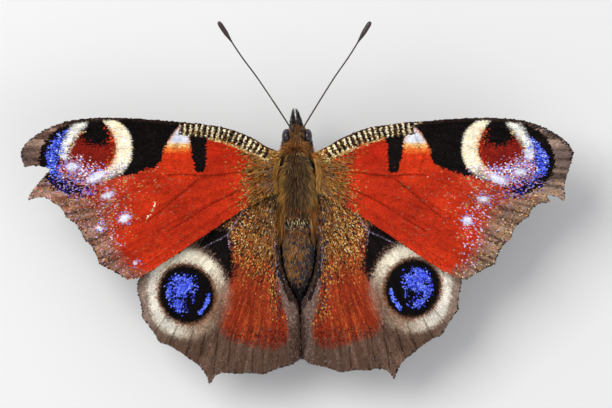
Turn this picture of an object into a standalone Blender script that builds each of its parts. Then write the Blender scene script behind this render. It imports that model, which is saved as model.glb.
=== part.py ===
# Peacock butterfly resting with its wings spread, life size, on its four walking legs.
# The origin is on the floor under the middle of the butterfly: +Y towards the head,
# +X towards its right side and +Z up. Sizes and places are in millimetres, and become
# metres once, where a mesh or a curve is made.

import math

import bmesh
import bpy
from mathutils import Vector
from mathutils.geometry import delaunay_2d_cdt

METRES = 0.001
SIDES = {"left": -1, "right": 1}

# Colour and roughness of each finish
FINISHES = {
    "hair": ((0.13, 0.075, 0.03), 0.8),
    "scales": ((0.42, 0.055, 0.02), 0.7),
    "gloss": ((0.03, 0.02, 0.02), 0.25),
    "horn": ((0.035, 0.018, 0.014), 0.5),
}

# Gap that pieces keep where one meets another, and the thinnest walls and shafts
GAP = 0.3
WING_THICKNESS = 0.5
SHAFT_RADIUS = 0.26

# Body: each section is (y, half width, half height, centre height), from front to back
HEAD_SECTIONS = [
    (8.40, 0.40, 0.40, 7.50),
    (8.15, 0.85, 0.85, 7.52),
    (7.60, 1.15, 1.12, 7.58),
    (6.90, 1.20, 1.20, 7.60),
    (6.30, 1.20, 1.25, 7.52),
]
THORAX_SECTIONS = [
    (6.00, 1.35, 1.55, 7.50),
    (5.30, 1.70, 2.00, 7.45),
    (4.00, 2.05, 2.45, 7.40),
    (2.30, 2.20, 2.60, 7.30),
    (0.50, 2.15, 2.45, 7.20),
    (-1.00, 1.90, 2.15, 7.10),
    (-2.20, 1.50, 1.75, 7.00),
]
ABDOMEN_SECTIONS = [
    (-2.50, 1.45, 1.70, 6.95),
    (-4.00, 1.72, 1.90, 6.85),
    (-5.60, 1.74, 1.85, 6.72),
    (-7.20, 1.52, 1.58, 6.52),
    (-8.70, 1.08, 1.15, 6.28),
    (-10.00, 0.60, 0.65, 6.04),
    (-11.00, 0.26, 0.30, 5.90),
]
BODY_SIDES = 24
ABDOMEN_RINGS = 7
RING_GROOVE = 0.06

# The abdomen and the hindwings are turned together, a little to the butterfly's right
HIND_PIVOT = (0.0, 1.47)
HIND_TURN = math.radians(1.5)

# Eyes, palps, feelers and tongue. The palps and the feelers lean a little to the left:
# a lean is the way to the left for each step ahead of the root.
EYE_CENTRE = (1.16, 7.35, 7.62)
EYE_RADII = (0.50, 0.84, 0.90)
PALP_PATH = [(0.42, 8.55, 6.95), (0.45, 9.10, 7.10), (0.41, 9.70, 7.40), (0.27, 10.25, 7.75)]
PALP_RADII = [0.25, 0.29, 0.25, 0.10]
PALP_LEAN = 0.1
FEELER_PATH = [
    (0.62, 8.15, 8.72),
    (4.00, 13.40, 11.30),
    (5.80, 15.90, 12.35),
    (7.10, 17.90, 13.05),
    (8.20, 19.62, 13.45),
]
FEELER_LEAN = 0.022
CLUB_LENGTH = 2.6
CLUB_RADIUS = 0.36
TONGUE_CENTRE = (7.85, 5.35)
TONGUE_COIL_RADII = (0.72, 0.22)
TONGUE_TURNS = 1.25
TONGUE_RADIUS = 0.2

# Shoulder flaps over the roots of the forewings, as ellipsoids
TEGULA_CENTRE = (1.22, 4.40, 9.72)
TEGULA_RADII = (0.70, 1.30, 0.36)

# Wings seen from above. Each outline is for the right side: x outwards from the midline.
FOREWING_ROOT_Y = (5.5, 1.5)
FOREWING_COSTA = [
    (3.3, 6.25),
    (4.9, 7.2),
    (8.15, 8.35),
    (14.1, 9.0),
    (20.1, 9.34),
    (25.3, 8.9),
    (28.9, 7.2),
    (30.1, 5.6),
    (29.7, 3.9),
]
FOREWING_APEX_EDGE = [(29.7, 3.9), (29.2, 2.2), (29.15, 1.2)]
FOREWING_TEETH = [
    (29.2, 0.3),
    (26.5, 0.0),
    (25.2, -1.55),
    (23.3, -3.8),
    (21.6, -6.65),
    (18.5, -8.3),
]
FOREWING_SAGS = [0.20, 0.13, 0.13, 0.10, 0.02]
FOREWING_INNER_EDGE = [
    (18.5, -8.3),
    (17.0, -7.95),
    (12.5, -5.1),
    (6.2, -0.87),
    (3.6, 0.55),
]
# The real wings are worn: a bite below the left tip, and a slit beside the right hook
LEFT_TIP_BITE = [(29.6, 3.9), (28.3, 4.15), (26.9, 3.75), (28.1, 2.4), (29.2, 0.9)]
RIGHT_HOOK_SLIT = [(28.75, 0.35), (28.2, 0.75), (27.1, 0.95), (27.75, 0.15)]

HINDWING_ROOT_Y = (3.0, -1.8)
HINDWING_COSTA = [
    (5.0, 3.1),
    (9.0, 1.5),
    (13.0, -1.7),
    (16.0, -5.3),
    (17.6, -7.8),
    (17.85, -9.0),
]
HINDWING_TEETH = [
    (17.85, -9.0),
    (17.35, -12.0),
    (15.5, -14.75),
    (12.4, -16.65),
    (10.2, -19.55),
    (7.3, -18.5),
    (4.2, -18.65),
    (0.8, -17.6),
]
HINDWING_SAGS = [0.05, 0.02, 0.05, 0.12, 0.20, 0.03, 0.02]
HINDWING_INNER_EDGE = [
    (0.24, -17.1),
    (0.24, -13.0),
    (0.26, -11.4),
    (1.0, -9.75),
    (1.75, -7.9),
    (2.1, -6.2),
    (2.2, -4.0),
]

# Main veins, from the root or from the vein they leave, out to the margin
FOREWING_VEINS = [
    [(2.8, 5.2), (6.4, 6.9), (11.0, 8.2), (17.0, 8.8)],
    [(2.8, 4.6), (6.4, 5.75), (10.2, 7.0), (12.6, 7.7), (18.0, 8.2), (24.0, 8.1), (28.9, 6.8)],
    [(9.2, 6.75), (13.0, 8.3), (19.5, 9.0)],
    [(15.5, 7.95), (21.0, 7.0), (26.5, 6.0), (29.8, 4.9)],
    [(12.6, 7.6), (18.0, 6.4), (24.0, 4.0), (29.0, 0.8)],
    [(13.5, 4.9), (19.0, 3.6), (23.0, 1.9), (26.4, 0.15)],
    [(12.4, 7.6), (13.4, 5.6), (13.5, 4.9), (13.0, 3.3)],
    [(2.6, 3.9), (6.3, 3.4), (10.0, 3.0), (13.0, 3.3), (16.0, 2.3), (20.0, 0.2), (25.0, -1.5)],
    [(10.0, 3.0), (13.8, 0.4), (18.0, -1.9), (23.1, -3.75)],
    [(4.5, 3.5), (6.3, 1.6), (10.0, -0.2), (15.0, -2.7), (21.3, -6.4)],
    [(2.6, 2.4), (6.0, 0.5), (11.0, -2.9), (15.0, -5.6), (18.4, -8.0)],
]
HINDWING_VEINS = [
    [(2.9, 1.8), (7.0, 1.2), (12.0, -2.4), (16.0, -6.3), (17.5, -8.6)],
    [(2.9, 1.0), (6.8, -0.8), (10.5, -3.3), (15.0, -7.0), (17.6, -11.9)],
    [(8.2, -1.8), (11.8, -7.0), (15.3, -14.5)],
    [(7.9, -3.2), (10.2, -8.5), (12.3, -16.4)],
    [(7.3, -3.9), (8.6, -10.5), (10.15, -19.2)],
    [(6.6, -4.2), (7.0, -11.0), (7.3, -18.3)],
    [(2.9, 0.0), (4.6, -3.4), (6.6, -4.2), (7.3, -3.9), (8.2, -1.8)],
    [(3.9, -2.2), (4.2, -9.5), (4.2, -18.4)],
    [(2.8, -1.2), (2.7, -8.0), (1.3, -17.4)],
]
VEIN_HALF_WIDTH = 0.32
VEIN_RISE = 0.14

# Height of each wing's mid surface: at the root, its rise outwards, how fast that
# rise flattens, and the fall towards the back behind FALL_START_Y
FOREWING_ROOT_Z = 8.6
HINDWING_ROOT_Z = 7.5
WING_RISE = math.tan(math.radians(4.5))
WING_FLATTENING = 0.0011
HINDWING_FALL = 0.05
FALL_START_Y = -3.0
WING_GRID = 2.6

# Walking legs: where on the body each one grows, and then its bends. The feet lie on
# the floor, each on a narrow flat along its underside.
COXA_LENGTH = 0.7
WALKING_LEGS = {
    "mid": {
        "root_y": 2.2,
        "knee": (5.1, 4.7, 4.7),
        "ankle": (6.9, 6.2, 0.22),
        "toe": (10.3, 7.8, 0.18),
    },
    "hind": {
        "root_y": -0.3,
        "knee": (4.5, -3.7, 4.7),
        "ankle": (6.0, -7.7, 0.22),
        "toe": (7.5, -11.6, 0.18),
    },
}
LEG_ROOT_ANGLE = math.radians(28)
FEMUR_RADII = (0.34, 0.42, 0.30)
TIBIA_RADII = (0.28, 0.30, 0.26)
TARSUS_RADII = (0.28, 0.26)
FORELEG_PATH = [(1.45, 5.7, 4.75), (1.55, 6.5, 4.6), (1.35, 7.4, 5.0), (1.15, 8.1, 5.55)]
FORELEG_ROOT_Y = 4.7
FORELEG_RADII = [0.26, 0.34, 0.34, 0.30, 0.14]


def clear_scene():
    for obj in list(bpy.data.objects):
        bpy.data.objects.remove(obj)


def surface(name, finish):
    """A Principled material in one of the butterfly's finishes."""
    colour, roughness = FINISHES[finish]
    made = bpy.data.materials.new(f"{name}_{finish}")
    made.use_nodes = True
    shader = made.node_tree.nodes["Principled BSDF"]
    shader.inputs["Base Color"].default_value = (*colour, 1)
    shader.inputs["Roughness"].default_value = roughness
    shader.inputs["Metallic"].default_value = 0
    made.diffuse_color = (*colour, 1)
    return made


def add_piece(name, mesh, finish, collection):
    """Adds a named object with its own material, shaded smooth with its sharp edges kept."""
    mesh.name = name
    mesh.materials.clear()
    mesh.materials.append(surface(name, finish))
    mesh.shade_smooth()
    mesh.set_sharp_from_angle(angle=math.radians(40))
    piece = bpy.data.objects.new(name, mesh)
    collection.objects.link(piece)
    return piece


def smooth_path(points, steps):
    """Smooth curve through points of any dimension, with this many steps a span."""
    places = [Vector(point) for point in points]
    spans = [(after - before).length for before, after in zip(places, places[1:])]
    slopes = [(places[1] - places[0]) / spans[0]]
    for index in range(1, len(places) - 1):
        rise = places[index + 1] - places[index - 1]
        slopes.append(rise / (spans[index - 1] + spans[index]))
    slopes.append((places[-1] - places[-2]) / spans[-1])
    path = []
    for index, span in enumerate(spans):
        chord = places[index + 1] - places[index]
        leave, arrive = slopes[index] * span, slopes[index + 1] * span
        for step in range(steps):
            t = step / steps
            ease = t * t * (3 - 2 * t)
            bend = leave * t * (1 - t) ** 2 - arrive * t * t * (1 - t)
            path.append(tuple(places[index] + chord * ease + bend))
    return [*path, tuple(places[-1])]


def mirrored(points, side):
    return [(side * point[0], *point[1:]) for point in points]


def leaning(points, side, lean):
    """The points on one side of the head, leaning to the left ahead of the first one."""
    root_y = points[0][1]
    return [(side * x - lean * (y - root_y), y, z) for x, y, z in points]


def turned(x, y):
    """A point of the hind body, turned about its pivot."""
    dx, dy = x - HIND_PIVOT[0], y - HIND_PIVOT[1]
    cosine, sine = math.cos(HIND_TURN), math.sin(HIND_TURN)
    return HIND_PIVOT[0] + dx * cosine - dy * sine, HIND_PIVOT[1] + dx * sine + dy * cosine


def section_at(sections, y):
    """Half width, half height and centre height of a body part at y."""
    for front, back in zip(sections, sections[1:]):
        if front[0] >= y >= back[0]:
            share = (front[0] - y) / (front[0] - back[0])
            return [a + (b - a) * share for a, b in zip(front[1:], back[1:])]
    return list(sections[0][1:] if y > sections[0][0] else sections[-1][1:])


def half_width_at(sections, y, z):
    """How far the body reaches sideways at y and height z."""
    half_width, half_height, centre = section_at(sections, y)
    return half_width * math.sqrt(max(0, 1 - ((z - centre) / half_height) ** 2))


def loft(sections):
    """Closed form through elliptical sections along Y, with a flat face at each end."""
    form = bmesh.new()
    rings = []
    for y, half_width, half_height, centre in sections:
        ring = []
        for step in range(BODY_SIDES):
            angle = math.tau * step / BODY_SIDES
            x = half_width * math.cos(angle)
            z = centre + half_height * math.sin(angle)
            ring.append(form.verts.new(Vector((x, y, z)) * METRES))
        rings.append(ring)
    for front, back in zip(rings, rings[1:]):
        for step in range(BODY_SIDES):
            after = (step + 1) % BODY_SIDES
            form.faces.new((front[step], front[after], back[after], back[step]))
    form.faces.new(rings[0])
    form.faces.new(rings[-1])
    bmesh.ops.recalc_face_normals(form, faces=form.faces)
    mesh = bpy.data.meshes.new("loft")
    form.to_mesh(mesh)
    form.free()
    return mesh


def ellipsoid(centre, radii, segments=16, rings=10):
    form = bmesh.new()
    bmesh.ops.create_uvsphere(form, u_segments=segments, v_segments=rings, radius=1)
    for vert in form.verts:
        vert.co = Vector([c + r * v for c, r, v in zip(centre, radii, vert.co)]) * METRES
    mesh = bpy.data.meshes.new("ellipsoid")
    form.to_mesh(mesh)
    form.free()
    return mesh


def tube(path, radii, resolution=2):
    """Mesh of a bevelled curve through path, with its radius given at each point."""
    curve = bpy.data.curves.new("tube", "CURVE")
    curve.dimensions = "3D"
    curve.bevel_depth = METRES
    curve.bevel_resolution = resolution
    curve.use_fill_caps = True
    spline = curve.splines.new("POLY")
    spline.points.add(len(path) - 1)
    for point, place, radius in zip(spline.points, path, radii):
        point.co = (*(Vector(place) * METRES), 1)
        point.radius = radius
    guide = bpy.data.objects.new("guide", curve)
    bpy.context.scene.collection.objects.link(guide)
    graph = bpy.context.evaluated_depsgraph_get()
    mesh = bpy.data.meshes.new_from_object(guide.evaluated_get(graph))
    bpy.data.objects.remove(guide)
    form = bmesh.new()
    form.from_mesh(mesh)
    bmesh.ops.remove_doubles(form, verts=form.verts, dist=0.001 * METRES)
    bmesh.ops.recalc_face_normals(form, faces=form.faces)
    form.to_mesh(mesh)
    form.free()
    return mesh


def with_boolean(piece, meshes, operation):
    """Applies one Boolean between a piece and a collection of closed meshes."""
    others = bpy.data.collections.new("boolean")
    bpy.context.scene.collection.children.link(others)
    for mesh in meshes:
        others.objects.link(bpy.data.objects.new("boolean", mesh))
    modifier = piece.modifiers.new("boolean", "BOOLEAN")
    modifier.operation = operation
    modifier.solver = "EXACT"
    modifier.operand_type = "COLLECTION"
    modifier.collection = others
    graph = bpy.context.evaluated_depsgraph_get()
    joined = bpy.data.meshes.new_from_object(piece.evaluated_get(graph))
    piece.modifiers.clear()
    piece.data = joined
    for obj in list(others.objects):
        bpy.data.objects.remove(obj)
    bpy.data.collections.remove(others)


def ringed_abdomen():
    """The abdomen's sections with a shallow groove between its rings."""
    front, back = ABDOMEN_SECTIONS[0][0], ABDOMEN_SECTIONS[-1][0]
    ring_length = (front - back) / ABDOMEN_RINGS
    sections = []
    for y, half_width, half_height, centre in smooth_path(ABDOMEN_SECTIONS, 5):
        place = (front - y) / ring_length
        groove = 1 - RING_GROOVE * abs(math.cos(math.pi * place)) ** 3
        sections.append((y, half_width * groove, half_height * groove, centre))
    return sections


def build_body(collection):
    head = add_piece("head", loft(smooth_path(HEAD_SECTIONS, 2)), "hair", collection)
    sockets = []
    for side in SIDES.values():
        centre = (side * EYE_CENTRE[0], *EYE_CENTRE[1:])
        sockets.append(ellipsoid(centre, [radius + GAP for radius in EYE_RADII]))
    with_boolean(head, sockets, "DIFFERENCE")
    thorax = add_piece(
        "thorax", loft(smooth_path(THORAX_SECTIONS, 2)), "hair", collection
    )
    flaps = []
    for side in SIDES.values():
        centre = (side * TEGULA_CENTRE[0], *TEGULA_CENTRE[1:])
        flaps.append(ellipsoid(centre, TEGULA_RADII, 14, 8))
    with_boolean(thorax, flaps, "UNION")
    abdomen = loft(ringed_abdomen())
    for vert in abdomen.vertices:
        x, y = turned(vert.co.x / METRES, vert.co.y / METRES)
        vert.co.xy = x * METRES, y * METRES
    add_piece("abdomen", abdomen, "hair", collection)


def build_head_parts(collection):
    for name, side in SIDES.items():
        eye = ellipsoid((side * EYE_CENTRE[0], *EYE_CENTRE[1:]), EYE_RADII)
        add_piece(f"eye_{name}", eye, "gloss", collection)
        palp_path = leaning(smooth_path(PALP_PATH, 2), side, PALP_LEAN)
        palp = tube(palp_path, spread(PALP_RADII, len(palp_path)))
        add_piece(f"palp_{name}", palp, "hair", collection)
        feeler = feeler_tube(side)
        add_piece(f"antenna_{name}", feeler, "horn", collection)
    add_piece("proboscis", tongue_tube(), "horn", collection)


def spread(values, count):
    """The values read at count even places, straight between one and the next."""
    read = []
    for step in range(count):
        place = step / (count - 1) * (len(values) - 1)
        low = min(int(place), len(values) - 2)
        read.append(values[low] + (values[low + 1] - values[low]) * (place - low))
    return read


def feeler_tube(side):
    """A thin shaft that ends in a long club."""
    path = smooth_path(FEELER_PATH, 5)
    tip = Vector(path[-1])
    radii = []
    for place in path:
        into_club = 1 - (Vector(place) - tip).length / CLUB_LENGTH
        swell = math.sin(math.pi * min(1, max(0, into_club) ** 0.8 * 0.8))
        radii.append(SHAFT_RADIUS + (CLUB_RADIUS - SHAFT_RADIUS) * swell)
    return tube(leaning(path, side, FEELER_LEAN), radii)


def tongue_tube():
    """The tongue coiled under the head, from its root inwards."""
    outer, inner = TONGUE_COIL_RADII
    steps = 18
    path = []
    for step in range(steps + 1):
        share = step / steps
        angle = math.radians(100) - math.tau * TONGUE_TURNS * share
        radius = outer + (inner - outer) * share
        y = TONGUE_CENTRE[0] + radius * math.cos(angle)
        z = TONGUE_CENTRE[1] + radius * math.sin(angle)
        path.append((0, y, z))
    return tube(path, [TONGUE_RADIUS] * len(path), 1)


def scalloped(teeth, sags):
    """Margin from tooth to tooth, hollowed inwards between them by a share of the chord."""
    margin = []
    for start, end, sag in zip(teeth, teeth[1:], sags):
        chord = Vector(end) - Vector(start)
        inwards = Vector((chord.y, -chord.x)) * sag
        for share in (0, 0.22, 0.5, 0.78):
            place = Vector(start) + chord * share + inwards * math.sin(math.pi * share)
            margin.append(tuple(place))
    return [*margin, teeth[-1]]


def forewing_height(x, y):
    return FOREWING_ROOT_Z + WING_RISE * abs(x) - WING_FLATTENING * x * x


def hindwing_height(x, y):
    fall = HINDWING_FALL * max(0, FALL_START_Y - y)
    return HINDWING_ROOT_Z + WING_RISE * abs(x) - WING_FLATTENING * x * x - fall


def root_edge(root_ys, height):
    """Points down the thorax's side, a gap away from it, at the wing's own height."""
    front, back = root_ys
    edge = []
    for y in spread([back, front], 5):
        clear = half_width_at(THORAX_SECTIONS, y, height(2, y))
        edge.append((clear + GAP, y))
    return edge


def forewing_outline(side_name):
    outline = root_edge(FOREWING_ROOT_Y, forewing_height)
    outline += smooth_path(FOREWING_COSTA, 2)[:-1]
    margin = scalloped(FOREWING_TEETH, FOREWING_SAGS)
    if side_name == "left":
        outline += LEFT_TIP_BITE + margin
    else:
        first_scallop = 4
        outline += FOREWING_APEX_EDGE + margin[:1] + RIGHT_HOOK_SLIT + margin[first_scallop:]
    return outline + smooth_path(FOREWING_INNER_EDGE, 2)[1:]


def hindwing_outline(side_name):
    outline = root_edge(HINDWING_ROOT_Y, hindwing_height)
    outline += smooth_path(HINDWING_COSTA, 2)[:-1]
    outline += scalloped(HINDWING_TEETH, HINDWING_SAGS)
    return outline + smooth_path(HINDWING_INNER_EDGE, 2)


def is_inside(outline, point):
    inside = False
    for (ax, ay), (bx, by) in zip(outline, [*outline[1:], outline[0]]):
        if (ay > point[1]) != (by > point[1]):
            crossing = ax + (point[1] - ay) / (by - ay) * (bx - ax)
            inside ^= point[0] < crossing
    return inside


def distance_to(line, point):
    """Distance from a point to the nearest stretch of a line, all in the plane."""
    nearest = math.inf
    for start, end in zip(line, line[1:]):
        along = Vector(end) - Vector(start)
        to_point = Vector(point) - Vector(start)
        share = min(1, max(0, to_point.dot(along) / along.length_squared))
        nearest = min(nearest, (to_point - along * share).length)
    return nearest


def vein_lines(veins, outline):
    """Each vein's crest and the two feet of its ridge, as far as they lie in the wing."""
    rim = [*outline, outline[0]]
    lines = []
    for vein in veins:
        crest = smooth_path(vein, 2)
        for offset in (-VEIN_HALF_WIDTH, 0, VEIN_HALF_WIDTH):
            line = []
            for before, place, after in zip([crest[0], *crest], crest, [*crest[1:], crest[-1]]):
                along = (Vector(after) - Vector(before)).normalized()
                moved = Vector(place) + Vector((-along.y, along.x)) * offset
                if is_inside(outline, moved) and distance_to(rim, moved) > 0.12:
                    line.append(tuple(moved))
            lines.append(line)
    return lines


def grid_points(outline, lines):
    """Even points in the open parts of the wing, so that it can curve."""
    rim = [*outline, outline[0]]
    xs = [x for x, _ in outline]
    ys = [y for _, y in outline]
    points = []
    for column in range(int((max(xs) - min(xs)) / WING_GRID) + 1):
        for row in range(int((max(ys) - min(ys)) / WING_GRID) + 1):
            shift = 0.5 * (column % 2)
            place = (min(xs) + column * WING_GRID, min(ys) + (row + shift) * WING_GRID)
            clear = WING_GRID / 3
            if not is_inside(outline, place) or distance_to(rim, place) < clear:
                continue
            if all(distance_to(line, place) > clear for line in lines if len(line) > 1):
                points.append(place)
    return points


def flat_triangles(outline, veins):
    """Triangles over the wing seen from above, with edges along its rim and its veins."""
    lines = vein_lines(veins, outline)
    points = list(outline)
    edges = []
    for line in lines:
        first = len(points)
        points += line
        edges += [(first + i, first + i + 1) for i in range(len(line) - 1)]
    points += grid_points(outline, lines)
    rim = list(range(len(outline)))
    flat = delaunay_2d_cdt([Vector(p) for p in points], edges, [rim], 1, 1e-4)
    return flat[0], [tuple(triangle) for triangle in flat[2]]


def vein_rise(veins, point):
    """How far the nearest vein lifts the surface here."""
    nearest = min(distance_to(vein, point) for vein in veins)
    return VEIN_RISE * max(0, 1 - nearest / VEIN_HALF_WIDTH)


def wing_mesh(outline, veins, height, side, place):
    """Closed wing, triangulated alike above and below, with a ridge along every vein."""
    points, triangles = flat_triangles(outline, veins)
    crests = [smooth_path(vein, 2) for vein in veins]
    rim = set()
    for a, b, c in triangles:
        for edge in ((a, b), (b, c), (c, a)):
            if edge[::-1] in rim:
                rim.remove(edge[::-1])
            else:
                rim.add(edge)
    form = bmesh.new()
    faces = []
    for level in (1, -1):
        layer = []
        for point in points:
            lift = level * (WING_THICKNESS / 2 + vein_rise(crests, point))
            z = height(point.x, point.y) + lift
            x, y = place(side * point.x, point.y)
            layer.append(form.verts.new(Vector((x, y, z)) * METRES))
        faces.append(layer)
    top, bottom = faces
    for triangle in triangles:
        form.faces.new([top[i] for i in triangle])
        form.faces.new([bottom[i] for i in reversed(triangle)])
    for a, b in rim:
        form.faces.new((bottom[a], bottom[b], top[b], top[a]))
    used = {vert for face in form.faces for vert in face.verts}
    for vert in [vert for vert in form.verts if vert not in used]:
        form.verts.remove(vert)
    bmesh.ops.recalc_face_normals(form, faces=form.faces)
    bmesh.ops.triangulate(form, faces=form.faces)
    mesh = bpy.data.meshes.new("wing")
    form.to_mesh(mesh)
    form.free()
    return mesh


def build_wings(collection):
    for name, side in SIDES.items():
        fore = wing_mesh(
            forewing_outline(name), FOREWING_VEINS, forewing_height, side, lambda x, y: (x, y)
        )
        add_piece(f"forewing_{name}", fore, "scales", collection)
        hind = wing_mesh(
            hindwing_outline(name), HINDWING_VEINS, hindwing_height, side, turned
        )
        add_piece(f"hindwing_{name}", hind, "scales", collection)


def leg_root(y):
    """Place just clear of the thorax where a right leg grows, and the way out of it."""
    half_width, half_height, centre = section_at(THORAX_SECTIONS, y)
    sine, cosine = math.sin(LEG_ROOT_ANGLE), math.cos(LEG_ROOT_ANGLE)
    out = Vector((sine / half_width, 0, -cosine / half_height)).normalized()
    on_skin = Vector((half_width * sine, y, centre - half_height * cosine))
    return on_skin + out * GAP, out


def shortened(start, end, at_start, at_end):
    """The straight stretch between two joints, less the gap it keeps at each end."""
    along = (end - start).normalized()
    return start + along * at_start, end - along * at_end


def build_walking_leg(pair, side_name, collection):
    side = SIDES[side_name]
    sizes = WALKING_LEGS[pair]
    root, out = leg_root(sizes["root_y"])
    hip = root + out * COXA_LENGTH
    knee, ankle, toe = (Vector(sizes[key]) for key in ("knee", "ankle", "toe"))
    knee_top, ankle_top = shortened(knee, ankle, GAP / 2, GAP / 2)
    _, knee_end = shortened(hip, knee, 0, GAP / 2)
    foot_start, foot_end = shortened(ankle, toe, GAP, 0)
    path = smooth_path([tuple(root), tuple(hip), tuple((hip + knee) / 2), tuple(knee_end)], 2)
    lengths = {
        "femur": (path, spread(FEMUR_RADII, len(path))),
        "tibia": (
            [tuple(knee_top + (ankle_top - knee_top) * share) for share in (0, 0.3, 0.7, 1)],
            spread(TIBIA_RADII, 4),
        ),
        "tarsus": (
            [tuple(foot_start + (foot_end - foot_start) * share) for share in (0, 0.5, 1)],
            spread(TARSUS_RADII, 3),
        ),
    }
    for length, (line, radii) in lengths.items():
        mesh = tube(mirrored(line, side), radii, 4 if length == "tarsus" else 2)
        if length == "tarsus":
            for vert in mesh.vertices:
                vert.co.z = max(0, vert.co.z)
        add_piece(f"{pair}leg_{side_name}_{length}", mesh, "horn", collection)


def build_legs(collection):
    for name, side in SIDES.items():
        root, _ = leg_root(FORELEG_ROOT_Y)
        path = smooth_path([tuple(root), *FORELEG_PATH], 2)
        mesh = tube(mirrored(path, side), spread(FORELEG_RADII, len(path)))
        add_piece(f"foreleg_{name}", mesh, "hair", collection)
        for pair in WALKING_LEGS:
            build_walking_leg(pair, name, collection)


def main():
    clear_scene()
    butterfly = bpy.data.collections.new("peacock_butterfly")
    bpy.context.scene.collection.children.link(butterfly)
    build_body(butterfly)
    build_head_parts(butterfly)
    build_wings(butterfly)
    build_legs(butterfly)


main()
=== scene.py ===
"""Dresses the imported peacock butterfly: skins, scales, hair, colours and a plain stage."""

import math

import bmesh
import bpy
import numpy as np
from bpy.props import FloatProperty, FloatVectorProperty, IntProperty, PointerProperty
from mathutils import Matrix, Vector
from mathutils.bvhtree import BVHTree
from mathutils.geometry import delaunay_2d_cdt


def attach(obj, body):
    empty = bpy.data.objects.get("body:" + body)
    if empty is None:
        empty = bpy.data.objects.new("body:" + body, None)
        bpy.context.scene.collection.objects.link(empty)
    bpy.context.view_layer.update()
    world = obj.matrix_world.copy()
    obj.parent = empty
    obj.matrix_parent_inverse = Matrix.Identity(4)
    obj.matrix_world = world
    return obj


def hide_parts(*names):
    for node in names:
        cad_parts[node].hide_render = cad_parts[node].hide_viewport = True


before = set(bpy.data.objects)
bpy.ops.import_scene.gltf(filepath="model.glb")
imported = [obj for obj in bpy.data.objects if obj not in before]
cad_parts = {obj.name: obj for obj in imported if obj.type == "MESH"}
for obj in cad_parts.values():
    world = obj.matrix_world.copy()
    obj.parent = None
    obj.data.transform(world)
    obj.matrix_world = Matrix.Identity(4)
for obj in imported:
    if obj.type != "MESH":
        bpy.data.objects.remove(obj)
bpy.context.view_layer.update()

bl_info = {
    "name": "Peacock Butterfly",
    "version": (1, 0, 0),
    "blender": (4, 5, 0),
    "location": "View3D > Sidebar > Butterfly",
    "description": "Dresses a peacock butterfly with wing scales, hair and horn",
    "category": "Object",
}

MM = 0.001
SIDES = {"left": -1, "right": 1}
BODY = "root"

# Width of one hair or scale on the bake map, and the share of the map that a coat fills
PATCH = 0.003
MAP_SHARE, MAP_EDGE = 0.98, 0.005

# Height over and under the part from which rays are cast, in m
RAY_START = 0.05

# The hindwings and the abdomen are turned together about this point, in mm
HIND_PIVOT = (0.0, 1.47)
HIND_TURN = math.radians(1.5)

# Where the scales of each wing seem to fan out from, in mm outwards and forwards
FAN_ROOTS = {"forewing": (-1.5, 5.2), "hindwing": (1.2, 3.5)}

# Half the thickness of a bare wing of the frame, and the rise of its vein ridges, in mm
PLATE_HALF = 0.25
RIDGE_RISE = 0.14

# A membrane's creases, over a full turn, and the heights of creases, swells and veins, in mm
CREASES = {"forewing": 38, "hindwing": 46}
CREASE_HEIGHT, SWELL_HEIGHT, VEIN_HEIGHT = 0.05, 0.06, 0.075

# Width and length of a scale as shares of the pitch, and the sizes of scales in mm
SCALE_SHARES = (1.25, 1.75)
SCALE_THICKNESS, FRINGE_THICKNESS, FRINGE_WIDTH = 0.012, 0.02, 0.06

# Where hair grows over the root of each wing: from where to where outwards and forwards, in mm
ROOT_HAIR = {"forewing": ((1.5, 5.8), (0.2, 6.8)), "hindwing": ((1.5, 6.2), (-8.5, 3.2))}

# How bright the skin under scales and hair is, as a share of their colours: painted shade under the
# coat
UNDERCOAT_SHADE = {"membrane": 0.7, "fold": 0.6, "body": 0.55}

# Ends of the body's skin, and the tail and the length of its bake map, in mm along the body
HEAD_END, TAIL_END = 8.36, -10.98
MAP_TAIL, MAP_LENGTH = -11.2, 19.8

# Places and radii of the eyes, and how deep they sit in the head, in mm
EYE_CENTRE = (1.16, 7.35, 7.62)
EYE_RADII = (0.50, 0.84, 0.90)
EYE_SEAT = 0.42

# Paths of the pieces that grow from the head, and how far they lean to the left, in mm
FEELER_PATH = [
    (0.5, 7.75, 8.2), (0.62, 8.15, 8.72), (4.0, 13.4, 11.3), (5.8, 15.9, 12.35),
    (7.1, 17.9, 13.05), (8.2, 19.62, 13.45),
]
FEELER_LEAN = 0.022
PALP_PATH = [
    (0.36, 7.9, 6.85), (0.36, 8.3, 6.95), (0.34, 9.0, 7.08), (0.29, 9.6, 7.36), (0.19, 10.2, 7.75),
]
PALP_RADII = (0.22, 0.28, 0.27, 0.19, 0.11, 0.03)
PALP_LEAN = 0.1

# Bends of the legs, for the right side: hip, thigh, knee, ankle and tip of the foot, in mm
LEG_PATHS = {
    "midleg": [
        (0.95, 2.2, 5.4), (1.25, 2.25, 4.35), (5.1, 4.7, 4.7), (6.9, 6.2, 0.2),
        (10.25, 7.8, 0.13),
    ],
    "hindleg": [
        (0.9, -0.3, 5.4), (1.2, -0.35, 4.4), (4.5, -3.7, 4.7), (6.0, -7.7, 0.2),
        (7.45, -11.5, 0.13),
    ],
}
FORELEG_PATH = [
    (0.9, 4.7, 5.5), (1.35, 4.9, 4.9), (1.5, 5.7, 4.7), (1.5, 6.6, 4.7), (1.3, 7.4, 5.0),
    (1.1, 8.0, 5.5),
]
FORELEG_RADII = (0.22, 0.2, 0.24, 0.2, 0.18, 0.09)
TONGUE_CENTRE = (7.85, 5.35)
TONGUE_TURNS = 2.4

# Painted shade in the slit at each shoulder, in mm outwards from the body's middle and forwards
SHOULDER_SLIT = [(1.38, 4.75), (1.60, 4.2), (1.86, 3.5)]
SHOULDER_SLITS = [[(side * out, y) for out, y in SHOULDER_SLIT] for side in SIDES.values()]

# Seeds of the random draws that place and paint the coats and skins
SEEDS = {
    "membrane": 40, "fringe": 90, "wing_hair": 500, "fold_hair": 520, "body_skin": 70,
    "collar": 250, "shoulder": 256, "trailing": 260,
}

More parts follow.
